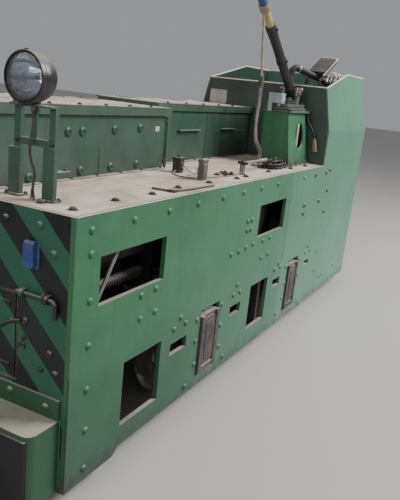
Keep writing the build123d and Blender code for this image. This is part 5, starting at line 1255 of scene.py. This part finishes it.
class LOCO_OT_bracket_fittings(bpy.types.Operator):
    """Bolt the headlight's bracket together and to the deck"""
    bl_idname = "loco.bracket_fittings"
    bl_label = "Headlight bracket's bolts"

    def execute(self, context):
        with piece("bracket_feet", "hood_green") as bm:
            add_blocks(bm, 0.0015, (100, 184, -1, 146, 254, 7), (100, 337, -1, 146, 410, 7),
                       (129, 196, 97, 204, 226, 103))
            add_weld(bm, (112, 196, 183), (112, 218, 183), FORWARD + UP, 0.006)
            add_weld(bm, (112, 349, 169), (112, 373, 169), FORWARD + UP, 0.006)
        with piece("bracket_bolts", "bolt_steel") as bm:
            feet = ((108, 191, 7), (138, 191, 7), (138, 248, 7), (108, 403, 7), (138, 403, 7), (138, 343, 7))
            heads(bm, bolt, feet, UP, 0.006, 0.007)
            heads(bm, bolt, ((111, 206, 195), (111, 361, 195)), FORWARD, 0.007, 0.007)
            heads(bm, bolt, ((190, 211, 103),), UP, 0.007, 0.007)
            add_turned(bm, ((0, 0), (0, 0.0145), (0.006, 0.0145), (0.008, 0.012), (0.014, 0.012), (0.015, 0)),
                       (120, 288, 306), -UP, 6)
        return {"FINISHED"}


class LOCO_OT_duct_ribs(bpy.types.Operator):
    """Rib the cable duct, boot its foot and clip it"""
    bl_idname = "loco.duct_ribs"
    bl_label = "Duct ribs"

    def execute(self, context):
        route = points_along(DUCT_ROUTE)
        with piece("duct_ribs", "arm_black") as bm:
            travelled, gap = 0.0, context.scene.loco_sizes.duct_rib_pitch
            for before, after in zip(route, route[1:]):
                run = (after - before).length
                while travelled + run >= gap:
                    before = before.lerp(after, (gap - travelled) / run)
                    run, travelled = (after - before).length, 0.0
                    add_band(bm, -0.0028, 0.0028, 0.0195, 0.0218, before, after - before, 18, 0.0014)
                travelled += run
        boot = [(0.004 + step * 0.007, 0.0285 - 0.0006 * step + 0.0035 * (step % 2)) for step in range(9)]
        with piece("duct_boot", "switch_black") as bm:
            add_turned(bm, [(0.0, 0.020), (0.0, 0.031)] + boot + [(0.072, 0.0205)],
                       at(*DUCT_ROUTE[0]) - UP * 0.01, UP, 24)
        with piece("duct_clips", "rest_grey") as bm:
            for share in (0.45, 0.72, 0.95):
                index = int(share * (len(route) - 1))
                add_band(bm, -0.006, 0.006, 0.0215, 0.0238, route[index], route[index + 1] - route[index], 24)
        return {"FINISHED"}


class LOCO_OT_collector_fittings(bpy.types.Operator):
    """Bolt the collector's base, cap its pivot and dress the terminal box"""
    bl_idname = "loco.collector_fittings"
    bl_label = "Collector fittings"

    def execute(self, context):
        pivot = at(*PIVOT)
        with piece("pivot_nuts", "rest_grey") as bm:
            for normal, inboard in ((LEFT, 188), (-LEFT, 292)):
                heads(bm, bolt, ((PIVOT[0], inboard, PIVOT[2]),), normal, 0.0155, 0.012)
            add_rod(bm, (2436, 165, 480), (2436, 312, 480), 0.0075, bevel=0.001)
            add_rod(bm, (2436, 160, 480), (2436, 174, 480), 0.0125, segments=6, bevel=0.001)
            heads(bm, pan, ((2436, 160, 480),), LEFT, 0.010, 0.010)
            add_blocks(bm, 0.002, (2428, 188, 440, 2444, 204, 492), (2428, 276, 440, 2444, 292, 492))
        with piece("base_bolts", "bolt_steel") as bm:
            heads(bm, bolt, product((2280, 2410, 2545), (188, 302), (384,)), UP, 0.011, 0.011)
            heads(bm, bolt, product((2240, 2585), (150, 324), (346,)), UP, 0.009, 0.010)
            ring = [at(PIVOT[0], PIVOT[1], 408) + out for out in around(6, 0.044, math.pi + 0.5)]
            heads(bm, bolt, ring, UP, 0.0055, 0.006)
        with piece("terminal_box_lid", "box_grey") as bm:
            add_block(bm, (2200, 205, 432), (2272, 294, 445), 0.002)
            add_block(bm, (2206, 204, 389), (2266, 208, 428), 0.0015)
            add_rod(bm, (2236, 230, 386), (2236, 230, 366), 0.012, 0.010, bevel=0.001)
        with piece("terminal_box_screws", "bolt_steel") as bm:
            heads(bm, pan, product((2212, 2260), (204,), (394, 423)), LEFT, 0.0035, 0.006)
        with piece("pedestal_trim", "body_green") as bm:
            add_blocks(bm, 0.0015, (2246, 115, -1, 2622, 92, 5), (2240, 128, -1, 2216, 305, 5))
            add_weld(bm, (2250, 115, 4), (2618, 115, 4), LEFT + UP, 0.007)
        with piece("pedestal_bolts", "bolt_steel") as bm:
            heads(bm, bolt, product((2270, 2355, 2440, 2525, 2605), (103,), (5,)), UP, 0.009, 0.009)
            heads(bm, bolt, ((2228, 150, 5), (2228, 285, 5)), UP, 0.009, 0.009)
        with piece("pedestal_rod", "plate_cream") as bm:
            add_rod(bm, (2478, 172, 290), (2424, 150, 60), 0.012, bevel=0.001)
        with piece("pendant_grip", "grip_brown") as bm:
            start, end = at(*PENDANT_ROUTE[-1]), at(*PENDANT_ROUTE[-2])
            add_turned(bm, ((-0.066, 0), (-0.066, 0.0150), (-0.060, 0.0175), (-0.016, 0.0160),
                            (0.010, 0.0125), (0.024, 0.0100), (0.025, 0)), start, end - start, 20)
        lay_cord("pendant_cable", PENDANT_ROUTE, context.scene.loco_sizes.deck_wire * 3.5, "arm_black",
                 with_pieces=("pendant_grip",), stiffness="stiff", far_end="fitting")
        with piece("pole_clamps", "pole_black", "pole") as bm:
            for distance in (0.07, 0.31, 0.585):
                place = pivot + POLE_ALONG * distance
                add_band(bm, -0.012, 0.012, 0.0284, 0.0325, place, POLE_ALONG, chamfer=0.001)
                heads(bm, bolt, (place + LEFT * 0.0325,), LEFT, 0.008, 0.009)
            add_weld(bm, pivot + POLE_ALONG * 0.045 + LEFT * 0.026, pivot + POLE_ALONG * 0.30 + LEFT * 0.0285,
                     LEFT, 0.005)
        with piece("shoe_fittings", "shoe_steel", "pole") as bm:
            tip = pivot + POLE_ALONG * (POLE_SOCKET_LENGTH + POLE_WOOD_LENGTH) * MM
            add_turned(bm, ((-0.030, 0.0226), (-0.028, 0.0255), (0.012, 0.0255), (0.016, 0.0226),
                            (-0.030, 0.0226)), tip, POLE_ALONG, 28)
            heads(bm, bolt, (tip - POLE_ALONG * 0.008 + LEFT * 0.0255,), LEFT, 0.007, 0.007)
        return {"FINISHED"}


class LOCO_OT_rope(bpy.types.Operator):
    """Tie the pole down with its rope, and tape the pole's joint"""
    bl_idname = "loco.rope"
    bl_label = "Rope and tape"

    def execute(self, context):
        radius = context.scene.loco_sizes.rope_radius
        low, high = at(*ROPE_ENDS[0]), at(*ROPE_ENDS[1])
        line = points_along([low, (low + high) / 2, high], 60)
        bm = bmesh.new()
        for strand in range(3):
            angles = [strand * math.tau / 3 + step * 0.9 for step in range(len(line))]
            add_wire(bm, [place + Vector((math.cos(angle), math.sin(angle), 0)) * radius * 0.5
                          for place, angle in zip(line, angles)], radius * 0.56, 2)
        rope = finish_piece("hold_down_rope", bm, None, "rope_fibre", flat_angle=60)
        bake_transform(rope)
        with piece("rope_tie", "lamp_lead") as bm:
            for height in range(468, 531, 7):
                add_ring(bm, (1921, 240, height), UP, 0.0132, 0.0038, 20, 8)
            add_rod(bm, (1921, 240, 464), (1921, 240, 531), 0.0125, 0.0115)
        start = at(*PIVOT) + POLE_ALONG * (POLE_SOCKET_LENGTH * MM)
        with piece("pole_ferrule", "pole_black", "pole") as bm:
            add_turned(bm, ((-0.085, 0.0287), (-0.083, 0.0302), (-0.042, 0.0306), (-0.040, 0.0300),
                            (0.0005, 0.0302), (0.002, 0.0290), (0.004, 0.0235), (-0.085, 0.0226),
                            (-0.085, 0.0287)), start, POLE_ALONG)
        with piece("pole_tape", "tape_blue", "pole") as bm:
            wraps = [(0.135 + 0.15 * step / 12, 0.0233 + 0.0008 * (step % 2)) for step in range(13)]
            add_turned(bm, [(0.134, 0.0222)] + wraps + [(0.286, 0.0222), (0.134, 0.0222)], start, POLE_ALONG)
        with piece("rope_hitch", "rope_fibre", "pole") as bm:
            middle = start + POLE_ALONG * 0.142
            for shift in (-0.018, -0.006, 0.006, 0.018):
                add_ring(bm, middle + POLE_ALONG * shift, POLE_ALONG + UP * shift * 6, 0.0262, 0.0048, 28, 8)
            add_ring(bm, middle - UP * 0.028, FORWARD + LEFT * 0.4, 0.009, 0.0045, 20, 8)
        return {"FINISHED"}


class LOCO_OT_cab_trim(bpy.types.Operator):
    """Edge the cab's walls and mount the blank plate and the instrument"""
    bl_idname = "loco.cab_trim"
    bl_label = "Cab trim"

    def execute(self, context):
        # pale rods on the deck's edges and the cab walls' edges: partly dust and wear, partly painted
        # highlight along the edges
        with piece("cab_edges", "edge_dust_and_highlight") as bm:
            add_rod(bm, (2645, 62, 510), (2645, BODY_WIDTH - 62, 510), 0.0055, bevel=0.001)
            for start, end in (((4, 1.5, 0), (2640, 1.5, 0)), ((1.5, 4, 0), (1.5, BODY_WIDTH - 4, 0)),
                               ((4, BODY_WIDTH - 1.5, 0), (2640, BODY_WIDTH - 1.5, 0))):
                add_rod(bm, start, end, 0.0019, segments=8)
            for face, side, _ in SIDES:
                edge = [(back, face + side * inset, height) for back, inset, height in
                        ((2645, 62, 510), (3200, 87, 628), (3676, 87, 628))]
                for start, end in zip(edge, edge[1:]):
                    add_rod(bm, start, end, 0.0052, segments=16)
            add_rod(bm, (3674, 87, 628), (3674, BODY_WIDTH - 87, 628), 0.0065)
        with piece("blank_plate", "plate_cream") as bm:
            add_block(bm, (2641, 790, 328), (2637.5, 925, 430), 0.001)
        with piece("blank_plate_screws", "bolt_steel") as bm:
            heads(bm, pan, product((2637.5,), (797, 918), (335, 423)), FORWARD, 0.004, 0.006)
        slope = Matrix.Rotation(math.atan2(150, 320), 4, "Y")
        middle, half = at(2822, 170, 651), Vector((0.125, 0.056, 0.017))
        with piece("instrument_case", "instrument_black") as bm:
            add_block(bm, middle - half, middle + half, 0.004, slope)
        # pale rods round the instrument: partly dust and wear, partly painted highlight along its edges
        with piece("instrument_frame_trim", "edge_dust_and_highlight") as bm:
            for inboard in (117, 223):
                add_rod(bm, (2700, inboard, 590), (2978, inboard, 720), 0.005)
            add_rod(bm, (2978, 117, 720), (2978, 223, 720), 0.005)
        normal, across = slope @ -UP, slope @ FORWARD
        for index, shift in enumerate((-0.055, 0.055)):
            centre = middle + across * shift + normal * 0.016
            with piece(f"gauge_rim_{index}", "rest_grey") as bm:
                add_turned(bm, ((0, 0.032), (0.006, 0.036), (0.012, 0.036), (0.014, 0.032), (0.010, 0.031),
                                (0, 0.032)), centre, normal)
                add_rod(bm, centre + normal * 0.008, centre + normal * 0.0105, 0.004)
                needle = centre + normal * 0.0095
                add_rod(bm, needle, needle + across * 0.018 + LEFT * 0.014, 0.0009, segments=8)
            with piece(f"gauge_face_{index}", "plate_cream") as bm:
                add_rod(bm, centre, centre + normal * 0.008, 0.0325, segments=32)
        with piece("cab_floor_plates", "deck_dusty") as bm:
            add_blocks(bm, 0.0015, (2680, 60, -421, 3110, 350, -415), (2680, 365, -421, 3110, 620, -415))
        return {"FINISHED"}


class LOCO_OT_driving_controls(bpy.types.Operator):
    """Dress the controller and the brake column"""
    bl_idname = "loco.driving_controls"
    bl_label = "Controls"

    def execute(self, context):
        top = at(2800, 760, 280)
        with piece("controller_dial", "rest_grey") as bm:
            add_turned(bm, ((-0.004, 0.131), (0.006, 0.131), (0.008, 0.128), (0.008, 0.112), (-0.001, 0.110),
                            (-0.004, 0.131)), top, UP, 48)
            for notch in range(9):
                angle = math.radians(150 + notch * 30)
                out, lift = Vector((math.cos(angle), math.sin(angle), 0)), UP * 0.001
                add_rod(bm, top + out * 0.094 + lift, top + out * 0.108 + lift, 0.002, segments=8)
            hub = ((0, 0.026), (0.012, 0.026), (0.018, 0.020), (0.040, 0.020), (0.040, 0.0165))
            add_turned(bm, hub, top, UP, 28)
        with piece("controller_knob", "switch_black") as bm:
            add_turned(bm, ((-0.004, 0), (-0.004, 0.014), (0.008, 0.0135), (0.020, 0.016), (0.050, 0.0185),
                            (0.066, 0.016), (0.073, 0.009), (0.074, 0)), (2938, 760, 330), UP, 28)
        with piece("controller_bands", "controller_grey") as bm:
            for height in (-400, -60, 236):
                add_band(bm, 0, 0.024, 0.129, 0.134, (2800, 760, height), UP, 48, 0.002)
            add_block(bm, (2926, 700, -380), (2936, 820, 210), 0.003)
        with piece("controller_bolts", "bolt_steel") as bm:
            heads(bm, pan, product((2936,), (712, 808), (-360, -90, 190)), -FORWARD, 0.006, 0.009)
            heads(bm, bolt, [top + out + UP * 0.008 for out in around(8, 0.120, 0.2)], UP, 0.0055, 0.006)
        with piece("brake_column_fittings", "rest_grey") as bm:
            foot, head = at(2800, 420, -400), at(2800, 420, 340)
            heads(bm, bolt, [foot + out for out in around(4, 0.045, 0.6)], UP, 0.007, 0.008)
            nut = ((0.018, 0.012), (0.018, 0.019), (0.030, 0.018), (0.036, 0.012), (0.037, 0))
            add_turned(bm, nut, head, UP, 6)
            for height in (-200, 60, 250):
                add_band(bm, 0, 0.030, 0.0235, 0.030, (2800, 420, height), UP, 32, 0.002)
            grip = head + Vector((-0.12, 0.062, 0))
            add_rod(bm, grip, grip + UP * 0.062, 0.0085, 0.0105, bevel=0.002)
        return {"FINISHED"}


class LOCO_OT_seat_cushion(bpy.types.Operator):
    """Swell the seat cushion and sew its piping"""
    bl_idname = "loco.seat_cushion"
    bl_label = "Seat cushion"

    def execute(self, context):
        low, high = at(*CUSHION_LOW), at(*CUSHION_HIGH)
        swollen = self.swell(context, low, high)
        bm = bmesh.new()
        bm.from_mesh(swollen)
        for height in (-4, 33):
            self.pipe(bm, height)
        for back, inboard in product((3255, 3427), (665, 835)):
            self.button(bm, swollen, at(back, inboard, 0), low.z + 0.02)
        cushion = finish_piece("seat_cushion_padded", bm, "root", "seat_vinyl", ("seat_cushion",), 60)
        smooth = cushion.modifiers.new("smooth", "SUBSURF")
        smooth.levels = smooth.render_levels = 1
        return {"FINISHED"}

    def swell(self, context, low, high):
        """The pad's mesh after its cloth has taken up its pressure, within the cap."""
        bm = bmesh.new()
        add_block(bm, low, high)
        bmesh.ops.remove_doubles(bm, verts=bm.verts, dist=1e-6)
        soften(bm, [edge for edge in bm.edges
                    if abs((edge.verts[0].co - edge.verts[1].co).normalized().z) > 0.9], 0.035, 5)
        start = bpy.data.meshes.new("cushion_start")
        bm.to_mesh(start)
        bm.free()
        pad = link("cushion_pad", start)
        even = pad.modifiers.new("even", "REMESH")
        even.mode, even.voxel_size = "VOXEL", 0.006
        before = [vert.co.copy() for vert in final_mesh(pad).vertices]
        cloth = pad.modifiers.new("swell", "CLOTH")
        cloth.settings.use_pressure = True
        cloth.settings.uniform_pressure_force = 4
        cloth.settings.effector_weights.gravity = 0
        cloth.point_cache.frame_start, cloth.point_cache.frame_end = 1, 20
        for step in range(1, 21):
            context.scene.frame_set(step)
        swollen = final_mesh(pad)
        context.scene.frame_set(1)
        for vert, was in zip(swollen.vertices, before):
            move = vert.co - was
            vert.co = was + move * min(1.0, CUSHION_CAP / max(move.length, 1e-6))
            vert.co.z = max(vert.co.z, low.z)
        bpy.data.objects.remove(pad)
        return swollen

    def pipe(self, bm, height):
        """Sews piping round the cushion at a height."""
        outline = ((3146, 611), (3146, 889), (3181, 924), (3501, 924), (3536, 889), (3536, 611), (3501, 576),
                   (3181, 576))
        ring = [at(back, inboard, height) for back, inboard in outline]
        middle = sum(ring, Vector()) / len(ring)
        line = [point.lerp(after, share) for point, after in zip(ring, ring[1:] + ring[:1])
                for share in (0, 0.33, 0.67)]
        line = [point + (point - middle).normalized() * 0.0055 for point in line]
        add_wire(bm, line + line[:2], 0.0036)

    def button(self, bm, swollen, place, floor):
        """Draws a button in and dimples the pad round it."""
        crown = max(vert.co.z for vert in swollen.vertices if (vert.co - place).xy.length < 0.012)
        button = Vector((place.x, place.y, crown - 0.006))
        for vert in bm.verts:
            reach = (vert.co - button).xy.length
            if reach < 0.05 and vert.co.z > floor:
                vert.co.z -= 0.007 * (1 - reach / 0.05) ** 2
        dome = ((-0.002, 0), (-0.002, 0.009), (0.002, 0.009), (0.0045, 0.006), (0.0052, 0))
        add_turned(bm, dome, button, UP, 20)


class LOCO_OT_door_fittings(bpy.types.Operator):
    """Fit the rear door's handle, stiffeners and vent, and the handrail"""
    bl_idname = "loco.door_fittings"
    bl_label = "Rear door fittings"

    def execute(self, context):
        face = BODY_LENGTH + 8
        with piece("door_stiffeners", "body_green", "door") as bm:
            for low, top in ((-372, -340), (-180, -150), (120, 150), (440, 472)):
                add_block(bm, (face - 1, 128, low), (face + 5, 532, top), 0.0015)
            for low in range(220, 400, 30):
                add_block(bm, (face - 1, 240, low), (face + 7, 420, low + 12), 0.002)
        with piece("door_handle", "rest_grey", "door") as bm:
            add_turned(bm, ((-0.001, 0), (-0.001, 0.024), (0.005, 0.022), (0.016, 0.013), (0.026, 0.012),
                            (0.027, 0)), (face, 500, 20), -FORWARD, 24)
            add_wire(bm, ((face + 22, 500, 20), (face + 24, 470, 21), (face + 24, 430, 17),
                          (face + 22, 396, 12)), 0.0068)
        with piece("door_keeper", "rest_grey") as bm:
            add_block(bm, (BODY_LENGTH - 1, 556, -2), (BODY_LENGTH + 12, 584, 42), 0.002)
        with piece("rear_handrail", "rest_grey") as bm:
            rail = ((0, -330), (42, -330), (50, -318), (50, -60), (50, 210), (50, 378), (42, 390), (0, 390))
            add_wire(bm, [(BODY_LENGTH + out, 640, height) for out, height in rail], 0.011, 5)
            for height in (-330, 390):
                add_turned(bm, ((0, 0), (0, 0.026), (0.005, 0.026), (0.008, 0.014), (0.009, 0)),
                           (BODY_LENGTH, 640, height), -FORWARD, 24)
        return {"FINISHED"}


class LOCO_OT_axlebox_fittings(bpy.types.Operator):
    """Cover the axleboxes and coil the springs above them"""
    bl_idname = "loco.axlebox_fittings"
    bl_label = "Axleboxes and springs"

    def execute(self, context):
        wire = context.scene.loco_sizes.spring_wire
        with piece("axlebox_covers", "axlebox_iron") as bm:
            for axle, (face, side, out) in product(AXLE_BACKS, SIDES):
                centre = at(axle, face - side * 2, AXLE_HEIGHT)
                for half, low, high, rise in ((0.054, -0.112, 0.136, 0.0065), (0.041, -0.092, 0.112, 0.0095)):
                    cover = add_block(bm, centre + Vector((-half, 0, low)) - out * 0.002,
                                      centre + Vector((half, 0, high)) + out * rise)
                    soften(bm, [edge for edge in edges_of(cover)
                                if abs(edge.verts[0].co.y - edge.verts[1].co.y) > 0.004], half * 0.55, 6)
                heads(bm, pan, [(axle + across, face - side * 6, AXLE_HEIGHT + rise)
                                for across, rise in product((-45, 45), (-60, 70))], out, 0.007, 0.009)
        with piece("helical_springs", "spring_steel", replaces=("axle_springs",)) as bm:
            for axle, inboard in product(AXLE_BACKS, (57.5, BODY_WIDTH - 57.5)):
                foot = at(axle, inboard, AXLE_HEIGHT + 150)
                coil, reach = [], 0.034 - wire
                for step in range(61):
                    share, angle = min(max((step - 9) / 42, 0), 1), step * math.tau / 12
                    coil.append(foot + Vector((math.cos(angle) * reach, math.sin(angle) * reach,
                                               wire + share * (0.100 - 2 * wire))))
                add_wire(bm, coil, wire)
                seat, half = foot + UP * 0.106, Vector((0.070, 0.0375, 0.006))
                add_block(bm, seat - half, seat + half, 0.002)
                add_rod(bm, foot - UP * 0.001, foot + UP * 0.060, 0.016, bevel=0.002)
        return {"FINISHED"}


class LOCO_OT_under_gear(bpy.types.Operator):
    """Dress the resistors, motors, contactor box and brake rods under the deck"""
    bl_idname = "loco.under_gear"
    bl_label = "Under the deck"

    def execute(self, context):
        with piece("resistor_coils", "resistor_rust") as bm:
            for row, column, step in product((-1, 0, 1), range(-3, 4), range(26)):
                place = at(222 + step * 16, MIDDLE + column * 800 / 7, -240 + row * 107)
                stamp(bm, resistor_turn, Matrix.Translation(place) @ upright(FORWARD))
        with piece("window_braces", "controller_grey") as bm:
            for inboard in (30, BODY_WIDTH - 30):
                add_rod(bm, (284, inboard, -160), (172, inboard, -330), 0.007, segments=12)
        with piece("motor_ribs", "motor_iron") as bm:
            for start in (1175, 1758):
                for back, near in product(range(start + 30, start + 400, 62), (272, 718)):
                    add_block(bm, (back, near, -950), (back + 18, near + 10, -592), 0.002)
                add_block(bm, (start + 90, 330, -571), (start + 310, 670, -556), 0.003)
                heads(bm, bolt, product((start + 105, start + 295), (345, 655), (-556,)), UP, 0.010, 0.010)
        with piece("contactor_box_lids", "frame_black") as bm:
            for near, start in product((114, BODY_WIDTH - 121), (1532, 1786)):
                add_block(bm, (start, near, -388), (start + 242, near + 7, -40), 0.002)
                for back in (start + 60, start + 180):
                    add_block(bm, (back, near - 5, -64), (back + 26, near + 12, -30), 0.002)
        with piece("brake_rods", "rest_grey") as bm:
            for inboard in (258, BODY_WIDTH - 258):
                add_rod(bm, (721, inboard, -450), (1924, inboard, -450), 0.008)
                add_rod(bm, (1270, inboard, -450), (1370, inboard, -450), 0.014, segments=6, bevel=0.001)
                for back in (721, 1924):
                    add_band(bm, -0.010, 0.010, 0.024, 0.031, (back, inboard, -450), LEFT, 24)
        with piece("brake_pins", "bolt_steel") as bm:
            for back, (_, side, out) in product((721, 1924), SIDES):
                heads(bm, bolt, product((back,), (MIDDLE - side * 402,), (-792, -510)), out, 0.009, 0.010)
        return {"FINISHED"}


class LOCO_OT_stage(bpy.types.Operator):
    """Set up the floor, the light and the camera"""
    bl_idname = "loco.stage"
    bl_label = "Stage"

    def execute(self, context):
        stage = context.scene.loco_stage
        bm = bmesh.new()
        bmesh.ops.create_grid(bm, x_segments=1, y_segments=1, size=40)
        mesh = bpy.data.meshes.new("floor")
        bm.to_mesh(mesh)
        bm.free()
        plain = bpy.data.materials.new("floor")
        plain.use_nodes = True
        shader = plain.node_tree.nodes["Principled BSDF"]
        shader.inputs["Base Color"].default_value = (*stage.floor, 1)
        shader.inputs["Roughness"].default_value = 0.9
        mesh.materials.append(plain)
        link("floor", mesh)
        world = bpy.data.worlds.new("studio")
        world.use_nodes = True
        sky = world.node_tree.nodes["Background"]
        sky.inputs["Color"].default_value = (0.93, 0.95, 1.0, 1)
        sky.inputs["Strength"].default_value = stage.sky_strength
        context.scene.world = world
        for name, place, aim, size, power in (
                ("key", (-3.0, 6.0, 6.5), (0, 0, 0.9), 4.0, stage.key_power),
                ("fill", (6.5, 1.0, 3.0), (1.5, 0, 0.8), 3.0, stage.fill_power)):
            light = bpy.data.lights.new(name, "AREA")
            light.size, light.energy = size, power
            lamp = link(name, light)
            lamp.location = place
            lamp.rotation_euler = (Vector(aim) - Vector(place)).to_track_quat("-Z", "Y").to_euler()
        lens = bpy.data.cameras.new("camera")
        lens.lens, lens.sensor_width = stage.lens, 36
        lens.shift_x, lens.shift_y = -0.0012, 0.0158
        lens.clip_start, lens.clip_end = 0.05, 200
        camera = link("camera", lens)
        right, up = Vector((-0.46644, 0.87860, 0.10244)), Vector((-0.19232, -0.21378, 0.95776))
        turn = Matrix((right, up, right.cross(up))).transposed().to_4x4()
        camera.matrix_world = Matrix.Translation((3.329, 1.680, 1.525)) @ turn
        context.scene.camera = camera
        return {"FINISHED"}


class LOCO_PT_panel(bpy.types.Panel):
    """Lists every step of the finish"""
    bl_idname = "LOCO_PT_panel"
    bl_label = "Mine locomotive"
    bl_space_type = "VIEW_3D"
    bl_region_type = "UI"
    bl_category = "Locomotive"

    def draw(self, context):
        for step in STEPS:
            self.layout.operator(step.bl_idname)
        for setting, _ in SETTINGS:
            group = getattr(context.scene, setting)
            box = self.layout.box()
            for name in group.__annotations__:
                box.prop(group, name)


STEPS = (
    LOCO_OT_paint, LOCO_OT_lamp_lead, LOCO_OT_coiled_cable, LOCO_OT_plate_rivets, LOCO_OT_welds,
    LOCO_OT_buffer_pads, LOCO_OT_hatch_fittings, LOCO_OT_front_socket, LOCO_OT_deck_bolts,
    LOCO_OT_deck_wiring, LOCO_OT_sand_lever, LOCO_OT_chain, LOCO_OT_hood_fittings, LOCO_OT_lid_fittings,
    LOCO_OT_headlight,
    LOCO_OT_bracket_fittings, LOCO_OT_duct_ribs, LOCO_OT_collector_fittings, LOCO_OT_rope, LOCO_OT_cab_trim,
    LOCO_OT_driving_controls, LOCO_OT_seat_cushion, LOCO_OT_door_fittings, LOCO_OT_axlebox_fittings,
    LOCO_OT_under_gear, LOCO_OT_stage,
)
SETTINGS = (("loco_sizes", LocoSizes), ("loco_colours", LocoColours), ("loco_stage", LocoStage))


def register():
    for name, group in SETTINGS:
        bpy.utils.register_class(group)
        setattr(bpy.types.Scene, name, bpy.props.PointerProperty(type=group))
    for item in (*STEPS, LOCO_PT_panel):
        bpy.utils.register_class(item)


def unregister():
    for item in (LOCO_PT_panel, *reversed(STEPS)):
        bpy.utils.unregister_class(item)
    for name, group in reversed(SETTINGS):
        delattr(bpy.types.Scene, name)
        bpy.utils.unregister_class(group)


def main():
    """Runs every step in order."""
    register()
    for step in STEPS:
        family, name = step.bl_idname.split(".")
        getattr(getattr(bpy.ops, family), name)()


if __name__ == "__main__":
    main()
